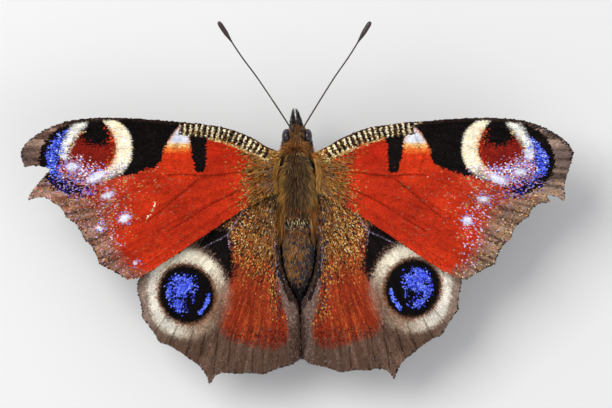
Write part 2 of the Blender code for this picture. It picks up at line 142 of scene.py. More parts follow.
# How many tufts the smaller coats have
WING_TUFTS, FOLD_TUFTS, SHOULDER_TUFTS, LOCK_TUFTS = 900, 700, 260, 150

# Coats of palps and legs: tufts, seed, length and width in mm, lean in degrees, and colours
LEG_HAIR = "bronze coffee sepia honey ink"
TUBE_COATS = {
    "palp": (520, 400, 0.38, 0.04, 12, "ink sepia soot coffee soot smoke steel"),
    "foreleg": (420, 440, 0.3, 0.034, 8, LEG_HAIR),
    "leg": (560, 420, 0.26, 0.034, 8, LEG_HAIR),
    "foot": (160, 430, 0.13, 0.022, 10, LEG_HAIR),
}

# How each coat is laid: what from, how far it stands up and how much that and its turn vary,
# in degrees, how much its size varies, and its seed
LAYING = {
    "scales": ("scale", 7, 4, 9, 0.14, 60),
    "fringe": ("scale", 0, 6, 4, 0.05, 92),
    "wing": ("hair", 6, 7, 8, 0.2, 501),
    "fold": ("hair", 6, 6, 8, 0.2, 521),
    "thorax": ("hair", 14, 7, 8, 0.15, 300),
    "abdomen": ("hair", 6, 7, 8, 0.15, 301),
    "head": ("hair", 24, 7, 8, 0.15, 302),
    "collar": ("hair", 4, 9, 10, 0.2, 308),
    "shoulder": ("hair", 6, 7, 8, 0.2, 312),
    "trailing": ("hair", 0, 4, 5, 0.15, 310),
    "palp": ("hair", 4, 6, 8, 0.2, 401),
    "leg": ("hair", 3, 4, 8, 0.2, 421),
    "foreleg": ("hair", 4, 6, 9, 0.2, 441),
}

# Grain, mottling, roughness, specular level and relief of each surface
SURFACES = {
    "wing_membrane": (9000, 0.12, 0.6, 0.03, 0.3),
    "wing_scale": (14000, 0.10, 0.6, 0.03, 0),
    "hair": (12000, 0.12, 0.55, 0.15, 0),
    "body_skin": (7000, 0.15, 0.7, 0.15, 0.4),
    "horn": (9000, 0.15, 0.35, 0.4, 0.3),
    "eye_facets": (5000, 0.25, 0.3, 0.35, 0),
}
RELIEF_DEPTH = 0.02 * MM

# Colours as a screen shows them, in hexadecimal
COLOURS = dict(
    red="b82c14", scarlet="d63816", carmine="b42210", crimson="942212", flame="de541e",
    brick="96321a", ember="b04220", wine="682214", black="0c0909", soot="191211", brown="785c4e",
    cocoa="966052", ash="76665e", bark="46342e", sand="947a62", fawn="a48874", mud="5e4538",
    peat="3a2a22", dun="7a6252", cream="faf0d4", butter="fcdc92", white="f6fcff", orange="f08236",
    tan="c88e5c", maroon="741a14", blue="4c62ec", navy="2c2eaa", sky="7e94fa", lilac="b092c8",
    pearl="decef4", pink="d48c8e", gold="c28a42", straw="dec692", rust="a65624", umber="5c3a20",
    sepia="3a261c", ink="221d21", taupe="644c42", smoke="92827a", frost="ced0d2", camel="927662",
    bisque="c4ac90", ivory="e4d8c4", olive="96804a", slate="3a3e4c", steel="60606a",
    coffee="4a3828", bronze="705430", honey="a87c38", copper="925628", soil="2e2522",
    # horn is a dark reddish brown, its red partly painted backlight shining through the feelers
    clay="54463c", pitch="181313", horn="482016", tar="221412", bone="aa8c70", eye="1a1416",
)


# ---- Numbers and plane shapes ----


def linear(name):
    """Linear light of a named colour."""
    share = np.array([*bytes.fromhex(COLOURS[name])]) / 255
    return np.where(share <= 0.04045, share / 12.92, ((share + 0.055) / 1.055) ** 2.4)


def ease(value):
    """Smooth step of a value from 0 to 1."""
    value = np.clip(value, 0, 1)
    return value * value * (3 - 2 * value)


def rise(value, start, width):
    """Smooth step up over a width that begins at start, or down where the width is below 0."""
    return ease((value - start) / width)


def unit(vectors):
    """The vectors, each with a length of 1."""
    return vectors / np.maximum(np.linalg.norm(vectors, axis=-1, keepdims=True), 1e-9)


def lattice_noise(x, y, size, seed):
    """Smooth noise from 0 to 1 over the plane, with lumps about this size."""
    grid = np.random.default_rng(seed).random((128, 128))
    u, v = x / size + 512, y / size + 512
    column, row = np.floor(u).astype(int), np.floor(v).astype(int)
    s, t = ease(u - column), ease(v - row)
    a, b = grid[column % 128, row % 128], grid[(column + 1) % 128, row % 128]
    c, d = grid[column % 128, (row + 1) % 128], grid[(column + 1) % 128, (row + 1) % 128]
    return a + (b - a) * s + (c - a) * t + (a - b - c + d) * s * t


def smooth_path(points, steps, closed=False, corner=None):
    """Smooth curve through points, which keeps corners sharper than this many degrees."""
    places = np.asarray(points, float)
    if closed:
        ahead, behind = np.roll(places, -1, 0), np.roll(places, 1, 0)
    else:
        ahead = np.vstack([places[1:], places[-1:]])
        behind = np.vstack([places[:1], places[:-1]])
    spans = np.linalg.norm(ahead - places, axis=1)
    before = np.linalg.norm(places - behind, axis=1)
    slopes = (ahead - behind) / np.maximum(spans + before, 1e-9)[:, None]
    if corner is not None:
        turn = ((ahead - places) * (places - behind)).sum(1) / np.maximum(spans * before, 1e-9)
        slopes[turn < math.cos(math.radians(corner))] = 0
    path = []
    for index in range(len(places) if closed else len(places) - 1):
        after = (index + 1) % len(places)
        leave, arrive = slopes[index] * spans[index], slopes[after] * spans[index]
        for step in range(steps):
            t = step / steps
            bend = leave * t * (1 - t) ** 2 - arrive * t * t * (1 - t)
            path.append(places[index] + (places[after] - places[index]) * ease(t) + bend)
    return np.array(path if closed else [*path, places[-1]])


def to_line(line, x, y, closed=False):
    """Distance from each place to a line, and how far along the line its nearest point is."""
    starts = np.asarray(line, float)
    ends = np.roll(starts, -1, 0) if closed else starts[1:]
    starts = starts if closed else starts[:-1]
    reach = ends - starts
    lengths = np.maximum(np.linalg.norm(reach, axis=1), 1e-9)
    runs = np.concatenate([[0], np.cumsum(lengths)[:-1]])
    dx, dy = x[:, None] - starts[:, 0], y[:, None] - starts[:, 1]
    share = np.clip((dx * reach[:, 0] + dy * reach[:, 1]) / lengths**2, 0, 1)
    away = np.hypot(dx - share * reach[:, 0], dy - share * reach[:, 1])
    nearest = away.argmin(1)
    rows = np.arange(len(x))
    return away[rows, nearest], runs[nearest] + share[rows, nearest] * lengths[nearest]


def depth_in(outline, x, y):
    """How deep each place lies inside a closed outline, below 0 outside it."""
    away, _ = to_line(outline, x, y, closed=True)
    starts = np.asarray(outline, float)
    ends = np.roll(starts, -1, 0)
    climb = np.where(ends[:, 1] == starts[:, 1], 1e-12, ends[:, 1] - starts[:, 1])
    crosses = (starts[:, 1] > y[:, None]) != (ends[:, 1] > y[:, None])
    at = starts[:, 0] + (y[:, None] - starts[:, 1]) * (ends[:, 0] - starts[:, 0]) / climb
    within = (crosses & (x[:, None] < at)).sum(1) % 2 == 1
    return np.where(within, away, -away)


def inside(outline, places):
    """Which places lie inside an outline, found in parts to spare memory."""
    parts = np.array_split(places, 24)
    return np.concatenate([depth_in(outline, *part.T) > 0.02 for part in parts])


def turned(x, y, angle):
    """Places turned about the pivot of the hind body."""
    dx, dy = x - HIND_PIVOT[0], y - HIND_PIVOT[1]
    cosine, sine = math.cos(angle), math.sin(angle)
    return dx * cosine - dy * sine, dy * cosine + dx * sine + HIND_PIVOT[1]


def fan(wing, x, y):
    """Direction outwards along the wing's rays at each place, and how far out it is."""
    root = FAN_ROOTS[wing]
    dx, dy = x - root[0], y - root[1]
    out = np.hypot(dx, dy)
    return dx / out, dy / out, out


# ---- Painting ----


class Paint:
    """Colours for places on the butterfly. A layer takes each place by chance, as single
    scales and hairs of unlike colours do, so edges are grainy and speckles come by themselves.
    """

    def __init__(self, x, y, seed):
        self.x, self.y = x, y
        self.dice = np.random.default_rng(seed)
        self.colour = np.zeros((len(x), 3))

    def tools(self):
        """What the painting functions call most."""
        return self.lay, self.area, self.oval, self.stroke, self.tone

    def lay(self, chance, mixture, grain=1.0):
        """Lays a mixture of named colours on the places that the chance takes. At full grain
        each place has one colour of the mixture or none, and at no grain all blend evenly.
        """
        chance = np.clip(chance * np.ones(len(self.x)), 0, 1)
        taken = self.dice.random(len(self.x)) < chance
        colours = np.array([linear(name) for name in mixture.split()])
        pick = self.dice.integers(0, len(colours), len(self.x))
        laid = grain * colours[pick] + (1 - grain) * colours.mean(0)
        share = (grain * taken + (1 - grain) * chance)[:, None]
        self.colour += (laid - self.colour) * share

    def tone(self, factor):
        """Darkens or brightens each place."""
        self.colour *= np.clip(factor, 0, None)[:, None]

    def area(self, points, soft=0.25):
        """Chance of being inside a rounded outline, with this soft width along its edge."""
        outline = smooth_path(points, 4, closed=True)
        return np.clip(depth_in(outline, self.x, self.y) / soft + 0.5, 0, 1)

    def stroke(self, points, width, soft=0.15):
        """Chance of being on a smooth line of this width."""
        away, _ = to_line(smooth_path(points, 4), self.x, self.y)
        return np.clip((width / 2 - away) / soft + 0.5, 0, 1)

    def oval(self, centre, radii, tilt=0.0, soft=0.2):
        """Chance of being inside an oval whose first radius is turned by tilt degrees."""
        return np.clip((1 - self.reach(centre, radii, tilt)) * min(radii) / soft + 0.5, 0, 1)

    def reach(self, centre, radii, tilt=0.0):
        """How far out in an oval each place is, 1 on its edge."""
        angle = math.radians(tilt)
        dx, dy = self.x - centre[0], self.y - centre[1]
        along = dx * math.cos(angle) + dy * math.sin(angle)
        across = dy * math.cos(angle) - dx * math.sin(angle)
        return np.hypot(along / radii[0], across / radii[1])


def mixed(places, seed, mixture):
    """One mixture of colours for places, seen from above."""
    paint = Paint(places[:, 0], places[:, 1], seed)
    paint.lay(1, mixture)
    return paint.colour


# Forewing shapes, in mm outwards from the midline and forwards
COSTA = [(2.6, 5.9), (4.9, 7.2), (8.15, 8.35), (14.1, 9.0), (20.1, 9.34), (25.3, 8.9)]
GOLD_LINE = [(3.0, 4.6), (4.1, 5.15), (5.3, 5.65), (6.4, 6.1), (7.4, 6.52), (9.3, 7.0)]
CELL_BAR = [
    (11.9, 8.1), (9.55, 7.7), (9.7, 6.4), (9.72, 4.6), (9.85, 3.7), (10.15, 3.45), (10.75, 3.5),
    (11.0, 4.1), (11.3, 5.6), (11.65, 7.3),
]
COSTAL_PATCH = [
    (12.5, 8.9), (12.75, 8.0), (13.55, 6.9), (14.2, 5.6), (14.7, 4.5), (15.4, 4.05), (16.4, 3.72),
    (17.9, 3.15), (19.0, 3.1), (20.2, 3.6), (20.2, 9.3), (17.0, 9.3),
]
WEDGE = [
    (12.0, 8.15), (12.7, 8.1), (13.6, 6.9), (14.3, 5.4), (13.4, 4.8), (12.0, 4.8), (11.45, 5.9),
    (11.7, 7.3),
]
EYE_FIELD = [
    (20.3, 9.3), (22.7, 9.15), (25.0, 8.55), (26.6, 7.5), (27.6, 5.9), (27.8, 4.2), (27.1, 2.7),
    (25.7, 1.6), (24.2, 1.1), (22.6, 1.7), (21.0, 2.4), (19.2, 3.0), (18.3, 3.9), (17.85, 5.0),
    (17.85, 6.5), (18.25, 7.8), (19.2, 8.85),
]
EYE_HEART = [
    (19.9, 7.5), (22.6, 7.7), (24.2, 6.8), (25.2, 5.2), (25.7, 3.6), (24.6, 2.4), (22.6, 2.0),
    (21.0, 2.7), (19.8, 4.0), (19.4, 5.6),
]
EYE_PUPIL = [
    (20.3, 8.9), (21.8, 9.1), (23.0, 8.6), (23.5, 7.6), (23.0, 6.7), (21.6, 6.3), (20.3, 6.6),
    (19.9, 7.5),
]
EYE_RING = [
    (20.9, 9.2), (19.8, 9.1), (18.8, 8.5), (18.1, 7.7), (17.8, 6.4), (17.88, 5.0), (18.4, 3.9),
    (19.3, 3.1), (20.8, 2.55), (22.4, 2.3), (22.3, 2.95), (20.9, 3.5), (20.1, 4.1), (19.65, 4.8),
    (19.45, 5.6), (19.45, 6.6), (19.85, 7.7), (20.4, 8.5),
]
RING_INNER = [(20.1, 7.9), (19.7, 7.2), (19.5, 6.2), (19.6, 5.2), (20.1, 4.4)]
EYE_CRESCENT = [
    (22.7, 8.85), (23.6, 8.8), (24.3, 8.3), (24.9, 7.2), (25.35, 6.1), (25.4, 5.1), (24.95, 4.95),
    (24.6, 5.6), (24.05, 6.8), (23.4, 7.75), (22.8, 8.5),
]
CRESCENT_INNER = [(22.9, 8.0), (23.8, 7.2), (24.4, 6.2), (24.6, 5.4)]
EYE_BLUE = [(24.5, 8.45), (25.5, 7.5), (26.2, 6.1), (26.4, 4.7), (26.0, 3.4), (25.1, 2.6)]
TIP_EDGE = {
    -1: [(25.8, 8.75), (27.2, 8.3), (28.7, 7.5), (29.6, 6.6), (29.8, 5.4)],
    1: [(25.6, 8.6), (27.4, 7.85), (28.9, 6.75), (29.6, 5.7), (29.7, 4.8)],
}
FORE_MARGIN = [
    (25.9, 1.4), (23.4, 0.7), (22.0, -0.4), (20.9, -1.7), (20.3, -3.5), (19.4, -5.6),
    (17.9, -7.2), (16.0, -8.0), (15.0, -9.5), (20.0, -11.0), (33.0, -3.0), (33.0, 3.0),
    (27.6, 2.2),
]
TIP = [
    (25.0, 8.75), (26.7, 7.65), (27.8, 5.9), (27.95, 4.1), (27.1, 2.4), (25.6, 1.3), (27.0, -1.0),
    (34.0, 0.0), (34.0, 11.0), (23.0, 11.0), (23.4, 9.25),
]
WHITE_SPOTS = {
    -1: [
        ((24.2, 4.05), (0.55, 0.45), 0), ((21.7, 2.9), (1.0, 0.4), 28),
        ((20.4, 0.95), (0.55, 0.32), 20), ((18.55, -1.55), (0.58, 0.42), 30),
        ((21.2, -2.6), (0.22, 0.18), 0), ((17.4, -6.3), (0.16, 0.16), 0),
    ],
    1: [
        ((25.0, 5.4), (0.48, 0.52), 0), ((24.1, 3.45), (0.55, 0.42), 0),
        ((21.75, 2.65), (0.9, 0.38), -25), ((20.1, 0.5), (0.55, 0.32), 0),
        ((18.3, -1.8), (0.46, 0.46), 0),
    ],
}
# A thin pale line along a crease of the left forewing
PALE_LINE = [(15.2, 0.4), (15.4, -0.35), (15.8, -1.1), (16.3, -1.9)]
FORE_DARK_VEINS = [
    [(3.5, 3.9), (5.1, 3.57), (7.3, 3.35), (8.9, 3.13), (10.5, 3.08), (12.2, 3.24), (13.8, 3.13)],
    [(10.5, 2.8), (12.7, 0.96), (14.9, -0.9), (16.0, -1.76)],
    [(6.2, 1.5), (8.9, 0.2), (11.1, -1.2), (13.8, -2.85)],
    [(21.1, 0.41), (23.8, -1.76)],
    [(20.1, -2.6), (22.4, -4.4)],
]


def paint_forewing(x, y, veins, seed, side):
    """The upper side of a forewing: red, with an eye at the tip and a striped front edge."""
    paint = Paint(x, y, seed)
    lay, area, oval, stroke, tone = paint.tools()
    along_x, _, out = fan("forewing", x, y)
    angle = np.arccos(np.clip(along_x, -1, 1)) * np.sign(y - FAN_ROOTS["forewing"][1])
    streaks = lattice_noise(angle * 90, out / 5, 1.0, 3)
    blotches = lattice_noise(x, y, 3.1, 4)
    fine = lattice_noise(x, y, 0.5, 5)
    lay(1, "red", 0)
    lay(0.15 + 0.5 * ease((blotches - 0.35) * 2.5), "scarlet", 0.4)
    lay(0.16 * ease((0.5 - streaks) * 3), "crimson", 0.5)
    lay(0.6 * oval((13.0, 4.4), (2.4, 1.9), soft=1.5), "scarlet", 0.3)
    lay(0.7 * oval((7.6, 5.2), (2.6, 1.2), 20, 1.0), "carmine", 0.3)
    outer = ease((x - 14.5 + 0.35 * y) / 6)
    lay(0.4 * ease((x - 16.5 + 0.3 * y) / 5), "cocoa red crimson", 0.4)
    lay(0.26 * outer * ease(fine * 2 - 0.5), "tan rust pink gold sand")
    # Gold and black dusting towards the root
    lay(rise(x, 8.6, -5.2) * 0.6, "rust umber gold red rust")
    lay(rise(x, 6.8, -3.2) * 0.88, "gold rust umber gold ink olive umber")
    # Brown margin, streaked along the rays
    tip, margin = area(TIP, 0.8), area(FORE_MARGIN, 1.9)
    tip = np.maximum(tip, rise(x, 24.3, 0.5) * (y > 1.0))
    brown = np.maximum(tip, margin)
    grey = ease((x - 25.5) / 3 + 0.25 * side)
    lay(brown, "brown cocoa brown", 0.6)
    second = "ash" if side > 0 else "bark"
    lay(brown * grey * 0.8, f"ash {second}", 0.5)
    lay(brown * (1 - grey) * (0.7 if side > 0 else 0.2), "sand brown", 0.5)
    lay(brown * ease((streaks - 0.45) * 4) * 0.5, "fawn", 0.5)
    lay(brown * ease((0.42 - streaks) * 4) * 0.6, "bark", 0.5)
    dust = "straw olive ash umber tan gold olive bark"
    dust = dust if side > 0 else "rust tan bark pink umber"
    lay(margin * 0.25, dust)
    lay(margin * (1 - tip) * 0.05, "pink lilac rust tan")
    # Black bars and patches along the front
    lay(area(CELL_BAR, 0.22), "black soot")
    lay(0.05 * (1 - brown) * rise(x, 9, 3) * (y < 4), "rust cocoa crimson")
    lay(stroke([(7.6, 6.85), (9.0, 7.3), (11.2, 7.8)], 0.5, 0.4), "black umber")
    lay(area(COSTAL_PATCH, 0.3), "black soot black")
    wedge = area(WEDGE, 0.4)
    lay(wedge, "scarlet", 0.4)
    lay(wedge * rise(y, 5.3, 0.6), "orange flame orange", 0.6)
    lay(wedge * rise(y, 5.9, 0.5), "butter butter orange", 0.6)
    lay(wedge * rise(y, 6.4, 0.4), "white white pearl white", 0.3)
    # The eye at the tip
    lay(area(EYE_FIELD, 0.35), "black soot")
    dense = 0.95 if side > 0 else 0.76
    inset = depth_in(smooth_path(EYE_FIELD, 4, closed=True), x, y)
    inset = inset - (0.55 * rise(y, 4.6, 2) if side > 0 else 0)
    within = rise(inset, 0.3, 0.5)
    blue = stroke(EYE_BLUE, 1.5, 1.1) * within
    lay(blue * dense, "blue navy blue sky")
    heart = area(EYE_HEART, 0.6)
    lay(heart, "maroon crimson maroon", 0.7)
    low = heart * ease((5.3 - y + 0.35 * (x - 22)) / 2.4)
    lay(low * 0.8, "crimson maroon pink")
    lay(low * (0.75 if side > 0 else 0.5), "lilac pink lilac sky white")
    lay(area(EYE_PUPIL, 1.0), "black black soot")
    lay(stroke(RING_INNER, 0.9, 0.8) * 0.6, "rust flame maroon red")
    ring = area(EYE_RING, 0.35) * (0.3 + 0.7 * rise(y, 3.0, 2.2))
    lay(ring, "cream cream white", 0.35)
    lay(ring * 0.3, "butter", 0.6)
    lay(ring * rise(y, 6.4, -2.5) * 0.5, "butter white", 0.5)
    lay(ring * stroke(RING_INNER, 0.55, 0.5) * 0.75, "butter orange", 0.6)
    lay(area(EYE_RING, 1.0) * rise(y, 4.8, -1.5) * 0.35, "lilac white pink")
    crescent = area(EYE_CRESCENT, 0.6)
    lay(crescent, "white cream", 0.4)
    lay(crescent * rise(x, 24.5, 0.7) * 0.6, "sky blue white")
    lay(stroke(CRESCENT_INNER, 0.3, 0.35) * 0.5, "rust butter maroon")
    lay(stroke(EYE_BLUE, 0.8, 0.9) * within * 0.06, "white sky")
    lay(area(EYE_FIELD, 0.3) * rise(y, 8.5, 0.5) * rise(x, 23.6, 1), "black soot umber")
    lay(stroke(TIP_EDGE[side], 0.5, 0.5) * 0.85, "slate ink bark sepia")
    # Speckles that run out of the eye into the red
    lay(oval((22.2, 1.3), (3.4, 1.1), 25, 1.4) * 0.34, "lilac pink brown tan red")
    below = 0.2 if side > 0 else 0.12
    speck_x = 18.9 if side > 0 else 20.4
    lay(oval((speck_x, -2.9), (1.2, 3.4), -10, 1.6) * below, "lilac pink pearl tan")
    lay(oval((24.3, 1.75), (2.1, 0.75), 15, 0.8) * 0.7, "ink navy black lilac")
    for centre, radii, tilt in WHITE_SPOTS[side]:
        halo = oval(centre, np.array(radii) + 0.3, tilt * side, 0.5)
        lay(halo * 0.35, "lilac sky pink")
        lay(oval(centre, radii, tilt * side, 0.3), "white white pearl", 0.5)
    # The striped front edge, with a golden line under it
    inwards, run = to_line(smooth_path(COSTA, 6), x, y)
    wobble = 0.16 * (lattice_noise(run, inwards, 0.5, 8 + side) - 0.5)
    stripe = np.abs((run / 0.62 + wobble - 0.05 * inwards) % 1 - 0.5) * 2
    banded = (x > 2) * np.clip((1.5 - inwards) / 0.2, 0, 1) * rise(x, 12.9, -0.6)
    lay(banded, "black soot umber")
    pale = banded * np.clip((stripe - 0.6) / 0.16, 0, 1) * (inwards > 0.14)
    lay(pale * rise(x, 2.7, 0.9), "cream butter cream", 0.6)
    lay(pale * rise(inwards, 0.6, 0.5) * 0.7, "olive straw olive")
    lay(pale * rise(x, 5.4, -2.2) * 0.7, "olive straw butter")
    lay((x > 2) * (inwards < 1.7) * rise(x, 3.5, -1.0) * 0.7, "gold umber rust olive")
    lay(stroke(GOLD_LINE, 0.22, 0.2) * 0.9, "straw gold olive")
    lay((inwards < 0.13) * (x > 2) * 0.8, "black umber")
    front = np.maximum(np.clip((0.42 - inwards) / 0.2, 0, 1), y > 9.2) * rise(x, 12.4, 0.4)
    lay(front, "black soot sepia", 0.5)
    lay(front * rise(x, 17.5, 3) * 0.2, "bark ash umber", 0.5)
    if side > 0:
        beyond = stroke([(12.2, 8.3), (13.2, 8.7), (14.4, 9.1)], 0.16, 0.16)
        lay(beyond * 0.6, "cream olive black")
    if side < 0:
        # A thin pale line on the left forewing
        lay(stroke(PALE_LINE, 0.13, 0.1) * 0.9, "tan cream")
    streaked = 0.12 + 0.3 * brown
    tone(1 + 0.3 * (blotches - 0.5) + streaked * (streaks - 0.5) + 0.3 * (fine - 0.5))
    tone(1 - 0.14 * rise(x, 15, 4) * (1 - brown) * rise(y, 4, -3))
    tone(1 - 0.17 * oval((15.0, -5.6), (3.2, 0.9), soft=1.2))
    tone(1 - 0.13 * oval((6.6, 5.0), (1.6, 1.0), 20, 1.2))
    tone(1 - 0.12 * ease((veins - 0.6) * 3))
    for vein in FORE_DARK_VEINS:
        tone(1 - 0.55 * stroke(vein, 0.13, 0.14))
    return paint.colour


# Hindwing shapes, in mm outwards from the midline and forwards, before the turn
DISC_CENTRE = (12.22, -9.4)
DISC_RADII = (3.08, 2.84)
DISC_TILT = 66
HIND_RED = [
    (7.2, -5.0), (7.3, -7.4), (7.9, -8.8), (8.4, -10.2), (8.7, -11.8), (8.6, -13.0), (7.8, -14.0),
    (6.0, -14.7), (4.2, -15.2), (2.8, -15.3), (1.5, -14.6), (1.2, -13.2), (1.6, -11.0),
    (2.2, -8.0), (2.2, -2.0), (6.0, 1.0),
]
HIND_BLACK = [
    (10.8, -4.0), (9.4, -2.4), (7.6, -2.5), (7.1, -4.6), (6.95, -6.2), (7.1, -7.5), (7.6, -8.0),
    (8.1, -6.9), (8.8, -5.8), (9.7, -4.8),
]
SPECKLED = [
    (1.8, 2.5), (5.0, 2.8), (8.2, -1.0), (7.7, -2.9), (7.1, -4.6), (6.8, -6.6), (5.8, -8.2),
    (4.4, -8.6), (3.4, -9.8), (2.9, -12.2), (1.7, -12.4), (1.8, -9.0), (2.0, -6.0), (1.9, -2.0),
]
DISC_BLUE = [
    (11.4, -8.0), (12.1, -7.5), (13.3, -7.3), (14.2, -8.1), (14.35, -9.3), (13.95, -10.3),
    (13.3, -11.3), (12.2, -11.35), (12.5, -10.5), (12.4, -9.8), (11.7, -9.0),
]
DISC_STREAK = [(11.15, -8.6), (11.6, -10.2)]
DISC_CRESCENT = [(9.85, -9.5), (10.12, -10.5), (10.8, -11.5)]
# Path of a band of painted shade along the fold, beside the abdomen
FOLD_SHADE = [(2.2, -3.0), (2.3, -5.0), (2.25, -6.6), (2.1, -7.8)]
GOLD_RUN = [(2.9, -8.0), (2.75, -10.0), (2.6, -12.4)]
PALE_VEINS = [
    [(10.4, -4.5), (9.0, -3.75), (7.6, -3.05), (6.6, -1.6), (5.2, 0.3)],
    [(7.6, -3.05), (7.35, -4.7)],
]
# Creases near the hindwing's margin, drawn as lines of painted shade
HIND_CREASES = [
    [(7.4, -13.4), (8.0, -17.2)],
    [(10.3, -13.6), (11.0, -16.2)],
    [(13.3, -12.8), (14.5, -15.2)],
    [(14.4, -11.6), (15.9, -13.6)],
    [(5.2, -15.6), (5.4, -18.0)],
    [(11.6, -13.4), (12.5, -15.9)],
    [(8.9, -13.4), (9.6, -18.2)],
]


def paint_hindwing(x, y, veins, seed, side):
    """The upper side of a hindwing: rust red, with a blue eye in a pale ring."""
    paint = Paint(x, y, seed)
    lay, area, oval, stroke, tone = paint.tools()
    along_x, _, out = fan("hindwing", x, y)
    angle = np.arccos(np.clip(along_x, -1, 1))
    streaks = lattice_noise(angle * 75, out / 6, 1.0, 13)
    threads = lattice_noise(angle * 190, out / 3, 1.0, 16)
    blotches = lattice_noise(x, y, 2.6, 14)
    fine = lattice_noise(x, y, 0.5, 15)
    lay(1, "mud", 0)
    lay(0.6 * ease((streaks - 0.4) * 3), "dun mud", 0.5)
    lay(0.5 * ease((0.4 - threads) * 3), "peat", 0.5)
    edge_pale = rise(x, 10.5, 4) * rise(y, -15.5, 3)
    lay(edge_pale * 0.55, "ash dun", 0.5)
    red = area(HIND_RED, 1.1)
    lay(red, "brick", 0.5)
    lay(red * 0.6 * ease((streaks - 0.45) * 3), "ember rust", 0.6)
    lay(red * 0.6 * ease((0.45 - threads) * 4), "wine", 0.6)
    lay(red * 0.5 * ease((threads - 0.6) * 4), "rust ember", 0.6)
    lay(red * 0.6 * rise(y, -12.6, -2), "mud wine wine")
    # The pale ring round the eye, dull where it nears the red and at the back
    reach = paint.reach(DISC_CENTRE, DISC_RADII, DISC_TILT)
    rim = (reach - 1) * 3.05
    bearing = np.arctan2(y - DISC_CENTRE[1], x - DISC_CENTRE[0])
    shine = 1 - 0.9 * np.clip(np.cos(bearing - math.radians(216)), 0, 1)
    glow = rise(rim, 0.05, 0.6) * rise(rim, 2.3, -1.0)
    lay(rise(rim, 2.8, -1.4) * (0.1 + 0.7 * shine), "camel dun", 0.4)
    glow *= 1 - 0.5 * rise(rim, 1.35, 0.8) * rise(y, -10.2, -1.5)
    lay(glow * (0.2 + 0.8 * shine), "bisque camel", 0.3)
    lay(glow * np.clip(1.5 * shine - 0.4, 0, 1), "cream ivory", 0.3)
    white_side = ease(1.6 * np.cos(bearing + math.radians(20)) - 0.4)
    lay(glow * white_side * 0.6, "frost ivory", 0.3)
    outermost = rise(x, 15.2, 1.4) * rise(rim, 0.95, 0.8)
    lay(outermost * 0.9, "ash dun fawn ash", 0.4)
    lay(area(HIND_BLACK, 0.9), "black soot", 0.8)
    lay(rise(rim, 0.85, -0.7) * 0.6, "umber rust camel", 0.6)
    lay(rise(rim, 0.5, -0.6), "sepia", 0.5)
    lay(oval(DISC_CENTRE, DISC_RADII, DISC_TILT, 0.25), "black", 0.7)
    # Blue scales in the eye
    patchy = 0.35 + 0.65 * ease((lattice_noise(x, y, 0.55, 17 + side) - 0.3) * 5)
    lay(area(DISC_BLUE, 0.6) * 0.97 * patchy, "blue sky blue navy")
    lay(area(DISC_BLUE, 1.6) * 0.2 * (reach < 0.8), "blue navy")
    lay(stroke(DISC_STREAK, 0.3, 0.4) * 0.6, "blue sky navy")
    lay(stroke(DISC_CRESCENT, 0.4, 0.2) * 0.95, "blue sky blue")
    # Gold, rust and black speckles over the root
    speckled = area(SPECKLED, 2.3) * (1 - area(HIND_BLACK, 0.4))
    strength = rise(y, -12.5, 7) * 0.5 + rise(y, -8.5, 4) * 0.4
    lay(speckled * strength, "gold rust ink rust umber gold umber")
    lay(speckled * rise(y, -7.5, 5) * 0.4, "ink straw ink umber gold")
    lay(stroke(GOLD_RUN, 0.5, 0.9) * 0.45, "gold rust ink umber rust")
    lay(speckled * rise(x, 3.8, -1.2) * 0.5, "ink slate gold umber ink")
    lay(rise(y, -15.6, -1.2) * 0.05, "steel ash dun")
    # The grey fold along the body, with painted shade where it turns down beside the abdomen
    inner = [(2.1, -5.0), (1.7, -8.4), (0.9, -10.6), (0.3, -12.2), (0.2, -17.0)]
    away, _ = to_line(smooth_path(inner, 4), x, y)
    fold_width = 0.55 + 0.55 * rise(y, -8, -4)
    fold = np.clip((fold_width - away) / 0.35 + 0.5, 0, 1) * (y < -3.5)
    lay(fold * 0.9, "taupe taupe smoke mud", 0.5)
    shade = 0.75 if side < 0 else 0.3
    lay(fold * rise(y, -12.2, -1.5) * shade, "peat mud sepia", 0.6)
    # Painted shade: a dark band along the fold
    lay(stroke(FOLD_SHADE, 0.5, 0.4) * 0.95, "ink slate ink soot")
    # Painted highlight: a pale lilac line along the fold's edge
    lay(stroke([(2.55, -4.2), (2.5, -6.8)], 0.14, 0.1) * 0.7, "lilac steel smoke")
    # Painted shade: a dark line along the inner margin, next to the abdomen
    lay(rise(away, 0.3, -0.15) * rise(y, -3.5, -0.5) * (y > -10.5), "ink sepia")
    for line in PALE_VEINS:
        lay(stroke(line, 0.08, 0.1) * 0.7, "smoke lilac", 0.5)
    # Painted shade in the creases
    for crease in HIND_CREASES:
        tone(1 - 0.75 * stroke(crease, 0.12, 0.14))
    tone(1 + 0.26 * (blotches - 0.5) + 0.26 * (streaks - 0.5) + 0.3 * (fine - 0.5))
    tone(1 - 0.08 * rise(y, -11.5, -2.5) * (x < 9.5))
    tone(1 - 0.15 * ease((veins - 0.6) * 3))
    return paint.colour


def paint_underside(x, y, veins, seed, side):
    """The underside of a wing: near black, crossed by fine wavy lines."""
    paint = Paint(x, y, seed)
    _, _, out = fan("forewing", x, y)
    waves = lattice_noise(x, y, 1.4, 21)
    lines = 0.5 + 0.5 * np.sin(out * 7 + waves * 14)
    bands = lattice_noise(out + 2 * waves, waves, 3.0, 22)
    paint.lay(1, "soil pitch", 0.6)
    paint.lay(ease(lines * 2 - 1.2) * 0.7, "clay soil", 0.6)
    paint.lay(ease((bands - 0.55) * 4) * 0.5, "pitch", 0.6)
    paint.tone(1 + 0.4 * (lattice_noise(x, y, 0.4, seed) - 0.5) - 0.3 * ease(veins))
    return paint.colour


PAINTERS = {"forewing": paint_forewing, "hindwing": paint_hindwing}


# ---- Meshes and pieces ----


def new_mesh(name, points, faces, tints):
    """A smooth mesh of points in mm, with a colour for each of them."""
    mesh = bpy.data.meshes.new(name)
    mesh.from_pydata(np.asarray(points) * MM, [], faces)
    mesh.validate()
    mesh.shade_smooth()
    set_points(mesh, "tint", "FLOAT_COLOR", tints)
    return mesh


